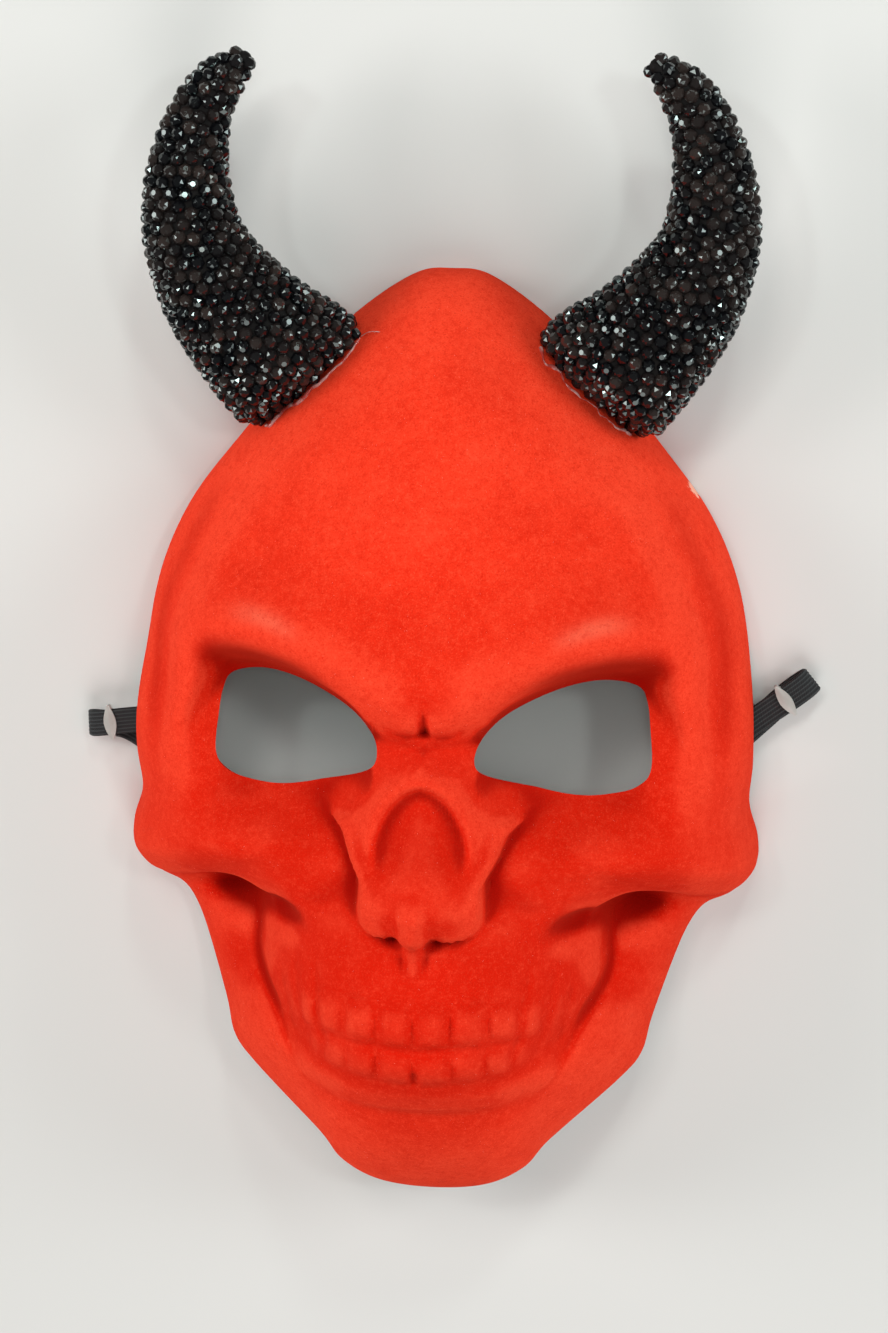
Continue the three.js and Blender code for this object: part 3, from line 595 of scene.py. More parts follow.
class Finish:
    """A material built in code. Constants go straight onto the shader's own sockets."""

    def __init__(self, name, **constants):
        self.material = bpy.data.materials.new(name)
        self.material.use_nodes = True
        self.tree = self.material.node_tree
        self.shader = self.tree.nodes["Principled BSDF"]
        for key, value in constants.items():
            socket = key.replace("_", " ").title().replace("Ior", "IOR")
            self.shader.inputs[socket].default_value = value

    def node(self, kind, settings=None, inputs=None, output=0):
        """A node with its settings and its sockets' values or links; gives one output's wire."""
        node = self.tree.nodes.new(kind)
        for key, value in (settings or {}).items():
            setattr(node, key, value)
        for key, value in (inputs or {}).items():
            self.link(node.inputs[key], value)
        return Wire(self, node.outputs[output])

    def link(self, socket, value):
        if isinstance(value, Wire):
            self.tree.links.new(value.socket, socket)
        else:
            socket.default_value = value

    def set(self, socket, value):
        self.link(self.shader.inputs[socket], value)

    def place(self):
        return self.node("ShaderNodeTexCoord", output="Object")

    def noise(self, scale, detail=2.0, roughness=0.5):
        return self.node("ShaderNodeTexNoise", {}, {
            "Vector": self.place(), "Scale": scale, "Detail": detail, "Roughness": roughness}, "Fac")

    def cells(self, scale, output):
        """Cells that are counted over the piece's own box, not in metres."""
        return self.node("ShaderNodeTexVoronoi", {}, {"Scale": scale}, output)

    def spread(self, value, low, high):
        """0 to 1, smoothly, as the value goes from low to high."""
        return self.node("ShaderNodeMapRange", {"interpolation_type": "SMOOTHSTEP"}, {
            "Value": value, "From Min": low, "From Max": high}, "Result")

    def mix(self, amount, *colours):
        """The first colour, and by the amount the second one over it."""
        first, second = (c if isinstance(c, Wire) else (*c, 1) for c in colours)
        return self.node("ShaderNodeMix", {"data_type": "RGBA"},
                         {0: amount, 6: first, 7: second}, 2)

    def attribute(self, name):
        return self.node("ShaderNodeAttribute", {"attribute_name": name}, output="Fac")

    def relief(self, height, distance, strength=1.0, over=None):
        inputs = {"Height": height, "Distance": distance, "Strength": strength}
        if over is not None:
            inputs["Normal"] = over
        return self.node("ShaderNodeBump", {}, inputs, "Normal")


def flock(colours):
    """Short dense fibres with a velvet sheen; painted highlight on the crests and along the brow,
    painted shade in the hollows and creases.
    """
    finish = Finish("red flock", roughness=0.95, specular_ior_level=0.04, sheen_weight=0.2,
                    sheen_roughness=0.5, sheen_tint=(1.0, 0.11, 0.04, 1.0))
    base = tuple(colours.flock)[:3]
    deep = (base[0] * 0.73, base[1] * 0.4, base[2] * 0.3)
    shadow = (base[0] * 0.4, base[1] * 0.12, base[2] * 0.1)
    pale = (min(1, base[0] * 1.1), base[1] * 3.2, base[2] * 5.5)
    shining = (base[0], base[1] * 5, base[2] * 11)
    brushed = finish.noise(60, 5, 0.62)
    worn = finish.noise(150, 3, 0.6)
    mottle = finish.noise(560, 3, 0.65)
    fibres = finish.noise(2200, 2, 0.8)
    painted_light_by_height, crest = finish.attribute("painted_light_by_height"), finish.attribute("crest")
    lift = painted_light_by_height * 0.45 + 0.55
    colour = base
    for amount, over in (
            # painted light and shade by height: paler up the forehead and on the chin, deeper over
            # the mouth and nose
            (painted_light_by_height * 0.26, pale), ((1 - painted_light_by_height) * 0.95, deep),
            (finish.spread(brushed, 0.42, 0.72) * 0.35, deep),
            (finish.spread(brushed, 0.5, 0.3) * 0.16, pale),
            # painted highlight on the crests, and along the brow
            (finish.spread(crest, 0.1, 0.9) * 0.4, pale),
            (finish.attribute("shine") * 0.8, shining),
            (finish.spread(worn, 0.52, 0.72) * 0.12, pale),
            (finish.spread(worn, 0.5, 0.3) * 0.22, deep),
            (finish.spread(mottle, 0.5, 0.7) * lift * 0.32, pale),
            (finish.spread(mottle, 0.5, 0.3) * 0.3, deep),
            (finish.spread(fibres, 0.52, 0.72) * lift * 0.7, pale),
            (finish.spread(fibres, 0.46, 0.28) * 0.7, deep),
            # painted shade in the hollows and in the creases
            (finish.spread(finish.attribute("hollow"), 0.05, 1.0), shadow),
            (finish.spread(crest, -0.1, -1.2) * 0.8, shadow)):
        colour = finish.mix(amount, colour, over)
    in_speck = 0.085 - finish.cells(330, "Distance") > 0
    lint = in_speck * (finish.cells(330, "Color").channel(0) > 0.965)
    colour = finish.mix(lint * 0.9, colour, (0.95, 0.75, 0.68))
    torn = finish.attribute("bare") + finish.noise(420, 3, 0.7) * 0.9
    colour = finish.mix(finish.spread(torn, 1.0, 1.12), colour, (0.95, 0.46, 0.34))
    finish.set("Base Color", colour)
    coarse = finish.relief(mottle, 0.00014, 0.4)
    finish.set("Normal", finish.relief(fibres, 0.0002, 0.9, coarse))
    return finish.material


def bare_plastic():
    finish = Finish("bare plastic", roughness=0.38, specular_ior_level=0.45)
    finish.set("Base Color", finish.mix(finish.spread(finish.noise(55, 3), 0.3, 0.75) * 0.4,
                                        (0.72, 0.70, 0.67), (0.62, 0.58, 0.55)))
    finish.set("Normal", finish.relief(finish.noise(160, 3), 0.0002, 0.4))
    return finish.material


def stone_black(colours):
    finish = Finish("black stone", roughness=0.05, specular_ior_level=0.55, ior=1.52,
                    specular_tint=(0.85, 1.0, 0.98, 1.0))
    tone = finish.attribute("tone")
    finish.set("Base Color", finish.mix(tone, tuple(colours.stone)[:3], (0.026, 0.018, 0.016)))
    return finish.material


def horn_black():
    finish = Finish("horn plastic", roughness=0.6, specular_ior_level=0.1)
    finish.set("Base Color", finish.mix(finish.noise(300, 2), (0.002, 0.002, 0.002),
                                        (0.008, 0.006, 0.006)))
    finish.set("Normal", finish.relief(finish.noise(700, 2), 0.0003, 0.5))
    return finish.material


def clear_glue():
    finish = Finish("clear glue", roughness=0.14, specular_ior_level=0.6, ior=1.48,
                    transmission_weight=0.35)
    finish.set("Base Color", finish.mix(finish.spread(finish.noise(420, 3), 0.35, 0.65),
                                        (0.6, 0.06, 0.045), (0.8, 0.45, 0.42)))
    finish.set("Normal", finish.relief(finish.noise(900, 2), 0.0003, 0.7))
    return finish.material


def ribbed_elastic(colours):
    finish = Finish("black elastic", roughness=0.7, specular_ior_level=0.25, sheen_weight=0.06,
                    sheen_roughness=0.4)
    rib = finish.attribute("rib")
    uv = finish.node("ShaderNodeUVMap", {"uv_map": "braid"}, output="UV")
    twist = finish.node("ShaderNodeTexWave", {"wave_type": "BANDS", "bands_direction": "DIAGONAL"},
                        {"Vector": uv, "Scale": 1.0, "Distortion": 0.6, "Detail": 1.0}, "Fac")
    threads = finish.noise(3200, 2, 0.7)
    woven = finish.mix(finish.spread(twist * threads, 0.15, 0.5) * 0.6,
                       tuple(colours.elastic)[:3], (0.02, 0.02, 0.022))
    # painted highlight: the crests of the ribs are paler
    finish.set("Base Color", finish.mix(finish.spread(rib, 0.7, 1.0) * 0.8, woven,
                                        (0.045, 0.05, 0.052)))
    finish.set("Normal", finish.relief(twist + threads * 0.4, 0.00015, 0.7))
    return finish.material


def milky_plastic(colours):
    finish = Finish("milky plastic", roughness=0.28, specular_ior_level=0.5,
                    transmission_weight=0.35, ior=1.46)
    finish.set("Base Color", finish.mix(finish.noise(400, 2), tuple(colours.tie)[:3],
                                        (0.48, 0.46, 0.43)))
    return finish.material


def floor_paint():
    finish = Finish("pale floor", roughness=0.7, specular_ior_level=0.25)
    finish.set("Base Color", finish.mix(finish.noise(9, 3) * 0.5, (0.62, 0.612, 0.6),
                                        (0.59, 0.583, 0.57)))
    return finish.material


# Sizes and colours that a user would change

class DevilMaskSettings(bpy.types.PropertyGroup):
    wall: bpy.props.FloatProperty(
        name="Wall", description="Thickness of the moulded sheet with its flock",
        default=0.0014, unit="LENGTH")
    columns: bpy.props.IntProperty(
        name="Columns", description="Mesh columns across the face", default=176)
    rows: bpy.props.IntProperty(
        name="Rows", description="Mesh rows from chin to crown", default=236)
    stone: bpy.props.FloatProperty(
        name="Stone", description="Width of one horn stone", default=0.0038, unit="LENGTH")
    stone_pitch: bpy.props.FloatProperty(
        name="Stone pitch", description="Least distance between two stones' middles",
        default=0.0033, unit="LENGTH")
    strap_width: bpy.props.FloatProperty(
        name="Strap width", description="Width of the elastic", default=0.0072, unit="LENGTH")
    strap_thickness: bpy.props.FloatProperty(
        name="Strap thickness", description="Thickness of the elastic", default=0.0012,
        unit="LENGTH")
    strap_ribs: bpy.props.IntProperty(
        name="Strap ribs", description="Rubber threads that show as ribs", default=7)


class DevilMaskColours(bpy.types.PropertyGroup):
    flock: bpy.props.FloatVectorProperty(
        name="Flock", description="Colour of the flock", size=3, subtype="COLOR",
        default=(0.82, 0.024, 0.006))
    stone: bpy.props.FloatVectorProperty(
        name="Stones", description="Colour of the horn stones", size=3, subtype="COLOR",
        default=(0.003, 0.003, 0.004))
    elastic: bpy.props.FloatVectorProperty(
        name="Elastic", description="Colour of the strap", size=3, subtype="COLOR",
        default=(0.011, 0.011, 0.012))
    tie: bpy.props.FloatVectorProperty(
        name="Ties", description="Colour of the strap ties", size=3, subtype="COLOR",
        default=(0.6, 0.59, 0.56))


# The camera

class DEVILMASK_OT_camera(bpy.types.Operator):
    """Add the camera that looks down on the lying mask"""
    bl_idname = "devilmask.camera"
    bl_label = "Camera"
    bl_options = {"REGISTER", "UNDO"}

    def execute(self, context):
        turned = (Matrix.Rotation(CAMERA_ROLL, 3, "Z") @ Matrix.Rotation(CAMERA_TILT, 3, "X")
                  @ Matrix.Rotation(CAMERA_TURN, 3, "Y"))
        eye = turned.transposed() @ Vector((AIM_X, 0, CAMERA_DISTANCE)) + Vector((0, AIM_Y, 0))
        deselect()
        bpy.ops.object.camera_add(location=eye * MM, rotation=turned.transposed().to_euler())
        camera = context.object
        camera.name = "photograph_view"
        camera.data.sensor_fit = "VERTICAL"
        camera.data.sensor_height = SENSOR
        camera.data.lens = CAMERA_DISTANCE / PIXEL_SIZE / FRAME_HEIGHT * SENSOR
        camera.data.clip_start = 0.01
        context.scene.camera = camera
        return {"FINISHED"}


# The strap and its ties

def centripetal_line(points, steps):
    """Evenly spaced points on a centripetal Catmull-Rom line, as the strap lies, and its length."""
    points = np.array(points, float)
    ends = np.vstack([2 * points[0] - points[1], points, 2 * points[-1] - points[-2]])
    line = []
    for a, b, c, d in zip(ends, ends[1:], ends[2:], ends[3:]):
        gaps = [np.linalg.norm(q - p) ** 0.5 for p, q in ((a, b), (b, c), (c, d))]
        ka, kb, kc, kd = np.concatenate([[0], np.cumsum(gaps)])
        t = np.linspace(kb, kc, 40, endpoint=False)[:, None]
        ab = ((kb - t) * a + (t - ka) * b) / (kb - ka)
        bc = ((kc - t) * b + (t - kb) * c) / (kc - kb)
        cd = ((kd - t) * c + (t - kc) * d) / (kd - kc)
        abc = ((kc - t) * ab + (t - ka) * bc) / (kc - ka)
        bcd = ((kd - t) * bc + (t - kb) * cd) / (kd - kb)
        line.append(((kc - t) * abc + (t - kb) * bcd) / (kc - kb))
    line = np.vstack([*line, points[-1:]])
    gone = np.concatenate([[0], np.cumsum(np.linalg.norm(np.diff(line, axis=0), axis=1))])
    wanted = np.linspace(0, gone[-1], steps + 1)
    return np.stack([np.interp(wanted, gone, line[:, k]) for k in range(3)], 1), gone[-1]


def strap_frames(points):
    """Directions along the strap and across its width, which stays level and turns smoothly."""
    along_it = np.gradient(points, axis=0)
    along_it /= np.linalg.norm(along_it, axis=1, keepdims=True)
    last = np.array([0.0, 1.0, 0.0])
    widths = []
    for direction in along_it:
        level = np.cross([0, 0, 1], direction)
        if np.linalg.norm(level) > 0.5:
            level /= np.linalg.norm(level)
            last = level if level @ last > 0 else -level
        widths.append(last)
    widths = np.array(widths)
    window = 9
    padded = np.vstack([widths[:1]] * window + [widths] + [widths[-1:]] * window)
    eased = sum(padded[k:k + len(widths)] for k in range(2 * window + 1))
    eased -= along_it * (eased * along_it).sum(1, keepdims=True)
    eased /= np.linalg.norm(eased, axis=1, keepdims=True)
    return along_it, eased


def ribbed_section(width, thickness, ribs):
    """The band's cross-section: a flat strip whose two sides are rows of threads."""
    per_rib = 4
    count = ribs * per_rib
    across = np.linspace(-0.5, 0.5, count + 1) * width
    swell = np.abs(np.sin(np.linspace(0, ribs * math.pi, count + 1)))
    half = thickness * (0.36 + 0.14 * swell)
    edge = np.clip((width / 2 - np.abs(across)) / (thickness * 0.5), 0, 1)
    half = half * (0.35 + 0.65 * np.sqrt(edge))
    top = list(zip(across, half))
    bottom = list(zip(across[::-1], -half[::-1]))
    return np.array(top + bottom)


class DEVILMASK_OT_strap(bpy.types.Operator):
    """Add the ribbed elastic strap along its route"""
    bl_idname = "devilmask.strap"
    bl_label = "Elastic strap"
    bl_options = {"REGISTER", "UNDO"}

    def execute(self, context):
        sizes = context.scene.devil_mask
        points, length = centripetal_line(STRAP_ROUTE, STRAP_STEPS)
        points, length = points * MM, length * MM
        ahead, across = strap_frames(points)
        through = np.cross(ahead, across)
        section = ribbed_section(sizes.strap_width, sizes.strap_thickness, sizes.strap_ribs)
        rings = [p + section[:, :1] * a + section[:, 1:] * t
                 for p, a, t in zip(points, across, through)]
        n = len(section)
        faces = [(i * n + k, i * n + (k + 1) % n, (i + 1) * n + (k + 1) % n, (i + 1) * n + k)
                 for i in range(STRAP_STEPS) for k in range(n)]
        faces += [tuple(range(n)), tuple(STRAP_STEPS * n + k for k in reversed(range(n)))]
        strap = mesh_object("strap", np.vstack(rings), faces)
        uv = strap.data.uv_layers.new(name="braid")
        step = length / STRAP_STEPS / MM
        for loop in strap.data.loops:
            ring, k = divmod(loop.vertex_index, n)
            uv.data[loop.index].uv = (section[k, 0] / MM, ring * step)
        # How high each point stands on a rib, for the painted highlight on the rib crests.
        across_share = section[:, 0] / sizes.strap_width + 0.5
        crests = np.abs(np.sin(sizes.strap_ribs * math.pi * across_share))
        add_share(strap, "rib", np.tile(crests, STRAP_STEPS + 1))
        edit_mesh(strap, turn_normals_out)
        shade(strap, 70)
        material = ribbed_elastic(context.scene.devil_mask_colours)
        finish_piece(strap, material, "elastic_strap")
        return {"FINISHED"}


class DEVILMASK_OT_ties(bpy.types.Operator):
    """Add the two small milky ties round the elastic"""
    bl_idname = "devilmask.ties"
    bl_label = "Strap ties"
    bl_options = {"REGISTER", "UNDO"}

    def execute(self, context):
        sizes = context.scene.devil_mask
        material = milky_plastic(context.scene.devil_mask_colours)
        for name, (place, turn) in TIES.items():
            deselect()
            bpy.ops.mesh.primitive_cube_add(
                size=1, scale=(TIE_ALONG * MM, TIE_ACROSS * MM, TIE_ALONG * MM))
            tie = named_primitive("strap_" + name + "_ring")
            place_in_mesh(tie)
            edit_mesh(tie, lambda: bpy.ops.mesh.subdivide(number_cuts=7))
            points = mesh_points(tie)
            to_point = np.abs(points[:, 1]) / (TIE_ACROSS * MM / 2)
            points[:, 0] *= 1.25 * (1 - 0.8 * to_point**1.7)
            to_side = np.abs(points[:, 0]) / (TIE_ALONG * MM / 2)
            points[:, 2] *= 1 - 0.35 * to_point**2 - 0.2 * to_side
            set_mesh_points(tie, points)
            deselect()
            bpy.ops.mesh.primitive_cube_add(size=1, scale=(
                TIE_HOLE_LENGTH * MM, sizes.strap_width + TIE_PLAY_ACROSS * MM,
                sizes.strap_thickness + TIE_PLAY_THROUGH * MM))
            hole = named_primitive("tie_hole")
            place_in_mesh(hole)
            apply_modifier(tie, "BOOLEAN", operation="DIFFERENCE", object=hole, solver="EXACT")
            bpy.data.objects.remove(hole)
            tie.location = Vector(place) * MM
            tie.rotation_euler = (0, 0, turn)
            place_in_mesh(tie)
            edit_mesh(tie, merge_doubles, turn_normals_out)
            shade(tie, 50)
            finish_piece(tie, material, "strap_" + name)
        return {"FINISHED"}


# The face shell

def crowded(places, peaks):
    """Even places from -1 to 1 moved so that they crowd together round the peaks."""
    fine = np.linspace(-1, 1, 4001)
    density = 1 + sum(weight * bell(fine - at, width) for at, width, weight in peaks)
    total = np.concatenate([[0], np.cumsum((density[1:] + density[:-1]) / 2)])
    return np.interp((places + 1) / 2 * total[-1], total, fine)


def square_to_face(u, v):
    """A square's points from -1 to 1, bent to the mask's outline."""
    p, q = u * np.sqrt(1 - v * v / 2), v * np.sqrt(1 - u * u / 2)
    length = np.hypot(p, q)
    length = np.where(length == 0, 1, length)
    reach = rim_reach(p, CENTRE_Y + q)
    return reach * p, CENTRE_Y + reach * q


def eye_window(x, y):
    """The rows and columns of the right eye hole in a grid of face points."""
    middle_row = np.argmin(np.abs(y[:, x.shape[1] // 2] - EYE_MIDDLE[1]))
    columns = [int(np.argmin(np.abs(x[middle_row] - edge))) for edge in EYE_SIDES]
    middle_column = int(np.argmin(np.abs(x[middle_row] - EYE_MIDDLE[0])))
    rows = [int(np.argmin(np.abs(y[:, middle_column] - edge))) for edge in EYE_ENDS]
    return rows, columns


def window_border(rows, columns):
    (r0, r1), (c0, c1) = rows, columns
    return [
        [(r0, c) for c in range(c0, c1 + 1)], [(r, c1) for r in range(r0, r1 + 1)],
        [(r1, c) for c in range(c1, c0 - 1, -1)], [(r, c0) for r in range(r1, r0 - 1, -1)],
    ]


def fit_eyes(x, y):
    """Moves the grid so that a window of it has the eye hole's outline, and eases the rest."""
    rows, columns = eye_window(x, y)
    curve = smooth_line(EYE, 24, closed=True)
    starts = [int(np.argmin(np.hypot(*(curve - corner).T))) for corner in EYE_CORNERS]
    move_x, move_y = np.zeros_like(x), np.zeros_like(y)
    held = np.zeros(x.shape, bool)
    held[[0, -1], :] = True
    held[:, [0, -1]] = True
    last = x.shape[1] - 1
    for side, start, end in zip(window_border(rows, columns), starts, starts[1:] + starts[:1]):
        count = (end - start) % len(curve)
        part = curve[(start + np.arange(count + 1)) % len(curve)]
        gone = np.concatenate([[0], np.cumsum(np.hypot(*np.diff(part, axis=0).T))])
        wanted = np.linspace(0, gone[-1], len(side))
        for (r, c), px, py in zip(side, np.interp(wanted, gone, part[:, 0]),
                                  np.interp(wanted, gone, part[:, 1])):
            move_x[r, c], move_y[r, c] = px - x[r, c], py - y[r, c]
            move_x[r, last - c], move_y[r, last - c] = -px - x[r, last - c], py - y[r, last - c]
            held[r, c] = held[r, last - c] = True
    for _ in range(EASING_ROUNDS):
        for move in (move_x, move_y):
            eased = move.copy()
            eased[1:-1, 1:-1] = (move[:-2, 1:-1] + move[2:, 1:-1] + move[1:-1, :-2]
                                 + move[1:-1, 2:]) / 4
            move[...] = np.where(held, move, eased)
    return x + move_x, y + move_y, rows, columns


def stands_out(z, rounds):
    """How far each grid point stands out of its surroundings, in millimetres."""
    blurred = z.copy()
    for _ in range(rounds):
        padded = np.pad(blurred, 1, mode="edge")
        blurred = (padded[:-2, 1:-1] + padded[2:, 1:-1] + padded[1:-1, :-2]
                   + padded[1:-1, 2:] + blurred) / 5
    return z - blurred


def crest_light_and_crease_shade(x, y, z, inward):
    """Painted highlight on crests, flanks, nose arch and temple line; below 0, painted shade in
    creases.
    """
    beside = np.abs(x)
    at_teeth = ramp(40, 32, beside) * ramp(-74, -80, y) * ramp(-110, -103, y)
    crest = stands_out(z, 14) / 0.9 * smooth(inward / 0.1) * (1 - 0.45 * at_teeth)
    crest = np.where(crest < 0, crest * (1 - 0.7 * ramp(-102, -106, y)), crest)
    crest += 0.6 * ramp(0.3, 0.05, inward)
    crest += 0.5 * bell(nearest(NOSE_ARCH, beside, y)[0], 2.2) * ramp(-44, -34, y)
    distance, place, _ = nearest(TEMPLE_LINE, beside, y)
    return crest + 0.5 * bell(distance, 3) * fading(place, 0.25, 0.3)


def hollow_shade(x, y, z, inward):
    """Painted shade in large hollows, the nose arch, under brow and lip, by the temple, round the
    nose root.
    """
    beside = np.abs(x)
    distance, _, side = nearest(NOSE_ARCH, beside, y)
    in_arch = ramp(0, 4, rightward(distance, side)) * ramp(-54, -40, y)
    under_brow = bell(y - along(SHADE_UNDER_BROW, beside), 5.4)
    under_brow *= ramp(14, 36, beside) * ramp(66.5, 57, beside)
    under_lip = bell(y - SHADE_UNDER_LIP_Y - 0.004 * beside**2, 2.6) * ramp(34, 20, beside)
    distance, place, side = nearest(TEMPLE_LINE, beside, y)
    temple = bell(rightward(distance, side) - 8, 3.5) * fading(place, 0.25, 0.3)
    over_nose = bump(x, y, 0, -13, 10, 5, 0.4)
    between_brows = bump(x, y, 0, -3, 12, 7, 0.26)
    return np.maximum.reduce([
        -stands_out(z, 160) / 5 * smooth(inward / 0.2), 0.36 * in_arch, 0.74 * under_brow,
        0.3 * under_lip, 0.4 * temple, over_nose, between_brows,
    ])


def flock_light_shade_and_tear(x, y, z):
    """Shares from -1 to 1 that colour the flock at each grid point: painted light and shade, and the
    torn place.
    """
    inward = 1 - np.hypot(x, y - CENTRE_Y) / rim_reach(x, y)
    distance, place, _ = nearest(SHINING_BROW, np.abs(x), y)
    torn_x, torn_y = TORN_PLACE
    return {
        "crest": crest_light_and_crease_shade(x, y, z, inward),
        "hollow": hollow_shade(x, y, z, inward),
        "shine": bell(distance, 2.1) * fading(place, 0.35, 0.45),
        "painted_light_by_height": along(PALER_AT, y),
        "bare": 1.1 - np.hypot((x - torn_x - 0.7 * (torn_y - y)) / 2.6, (y - torn_y) / 5),
    }


class DEVILMASK_OT_shell(bpy.types.Operator):
    """Add the moulded face with its eye holes, wall and flock"""
    bl_idname = "devilmask.shell"
    bl_label = "Face shell"
    bl_options = {"REGISTER", "UNDO"}

    def execute(self, context):
        sizes = context.scene.devil_mask
        deselect()
        bpy.ops.mesh.primitive_grid_add(
            x_subdivisions=sizes.columns, y_subdivisions=sizes.rows, size=2)
        shell = named_primitive("mask_face")
        flat = mesh_points(shell)
        u = crowded(np.round(flat[:, 0], 6), COLUMN_CROWDS)
        v = crowded(np.round(flat[:, 1], 6), ROW_CROWDS)
        shape = (sizes.rows + 1, sizes.columns + 1)
        x, y = square_to_face(u.reshape(shape), v.reshape(shape))
        x, y, rows, columns = fit_eyes(x, y)
        z = face_height(x, y)
        border = np.zeros(shape, bool)
        border[[0, -1], :] = True
        border[:, [0, -1]] = True
        z = np.where(border, rim_height(y), z)
        set_mesh_points(shell, np.stack([x, y, z], -1).reshape(-1, 3) * MM)
        # The flock's painted highlight, painted shade and painted light by height, and its torn
        # place.
        for name, values in flock_light_shade_and_tear(x, y, z).items():
            add_share(shell, name, np.clip(values, -1, 1))
        self.open_eyes(shell, rows, columns, shape)
        shell.data.materials.append(flock(context.scene.devil_mask_colours))
        shell.data.materials.append(bare_plastic())
        apply_modifier(shell, "SOLIDIFY", thickness=sizes.wall, offset=-1, use_rim=True,
                       material_offset=1, material_offset_rim=0)
        points = mesh_points(shell)
        lowest = rim_height(points[:, 1] / MM) * MM
        points[:, 2] = np.maximum(points[:, 2], lowest)
        set_mesh_points(shell, points)
        shade(shell, 60)
        finish_piece(shell, node="mask_shell")
        return {"FINISHED"}

    def open_eyes(self, shell, rows, columns, shape):
        """Deletes the faces in both windows of the grid."""
        last = shape[1] - 1
        inside = np.zeros(shape, bool)
        inside[rows[0]:rows[1] + 1, columns[0]:columns[1] + 1] = True
        inside[rows[0]:rows[1] + 1, last - columns[1]:last - columns[0] + 1] = True
        inside = inside.ravel()
        activate(shell)
        bpy.ops.object.mode_set(mode="EDIT")
        bpy.ops.mesh.select_all(action="DESELECT")
        bpy.ops.object.mode_set(mode="OBJECT")
        for face in shell.data.polygons:
            face.select = all(inside[k] for k in face.vertices)
        bpy.ops.object.mode_set(mode="EDIT")
        bpy.ops.mesh.select_mode(type="FACE")
        bpy.ops.mesh.delete(type="FACE")
        bpy.ops.object.mode_set(mode="OBJECT")


# The horns and their stones

def dome_plug():
    """A solid under the face, which a horn's foot is cut to."""
    deselect()
    bpy.ops.mesh.primitive_grid_add(x_subdivisions=90, y_subdivisions=90, size=2)
    plug = named_primitive("dome_plug")
    flat = mesh_points(plug)
    x, y = square_to_face(crowded(flat[:, 0], RIM_CROWDS), crowded(flat[:, 1], RIM_CROWDS[1:]))
    z = face_height(x, y)
    set_mesh_points(plug, np.stack([x, y, z], -1) * MM)
    activate(plug)
    bpy.ops.object.mode_set(mode="EDIT")
    bpy.ops.mesh.select_all(action="SELECT")
    bpy.ops.mesh.extrude_region_move(TRANSFORM_OT_translate={"value": (0, 0, -0.2)})
    bpy.ops.mesh.select_all(action="SELECT")
    turn_normals_out()
    bpy.ops.object.mode_set(mode="OBJECT")
    return plug


def stone_template():
    """A faceted domed stone of unit radius: girdle, crown and table."""
    rings = [(1.0, -0.25, 0), (1.0, 0.08, 0), (0.76, 0.6, 0.5), (0.38, 0.94, 0)]
    points, faces = [], []
    for radius, height, offset in rings:
        for k in range(STONE_SIDES):
            angle = 2 * math.pi * (k + offset) / STONE_SIDES
            points.append((radius * math.cos(angle), radius * math.sin(angle), height))
    n = STONE_SIDES
    for k in range(n):
        after = (k + 1) % n
        faces.append((k, after, n + after, n + k))
        faces.append((n + k, n + after, 2 * n + k))
        faces.append((n + after, 2 * n + after, 2 * n + k))
        faces.append((2 * n + k, 2 * n + after, 3 * n + after))
        faces.append((2 * n + k, 3 * n + after, 3 * n + k))
    faces.append(tuple(3 * n + k for k in range(n)))
    return np.array(points), faces


def stone_places(horn, pitch, rng):
    """Places round the horn, from the foot to the tip, each at least a pitch from the others."""
    rows = np.arange(0.02, 1.9, STONE_ROW_STEP)
    placed = np.empty((0, 3))
    chosen = []
    for share in rows:
        size = float(horn.section(np.array(min(share, 1.0)))[3])
        if share > 1:
            size *= math.sqrt(max(0, 1 - (share - 1) ** 2))
        count = max(6, int(2 * math.pi * size / STONE_TRY_STEP))
        angles = (np.arange(count) + rng.random()) * 2 * math.pi / count
        points = horn.point(np.full(count, share), angles, STONE_INSET)
        for angle, point in zip(angles, points):
            near = placed[-STONES_NEAR:]
            if len(near) and np.min(((near - point) ** 2).sum(1)) < pitch**2:
                continue
            placed = np.vstack([placed, point])
            chosen.append((share, angle))
    return np.array(chosen), placed


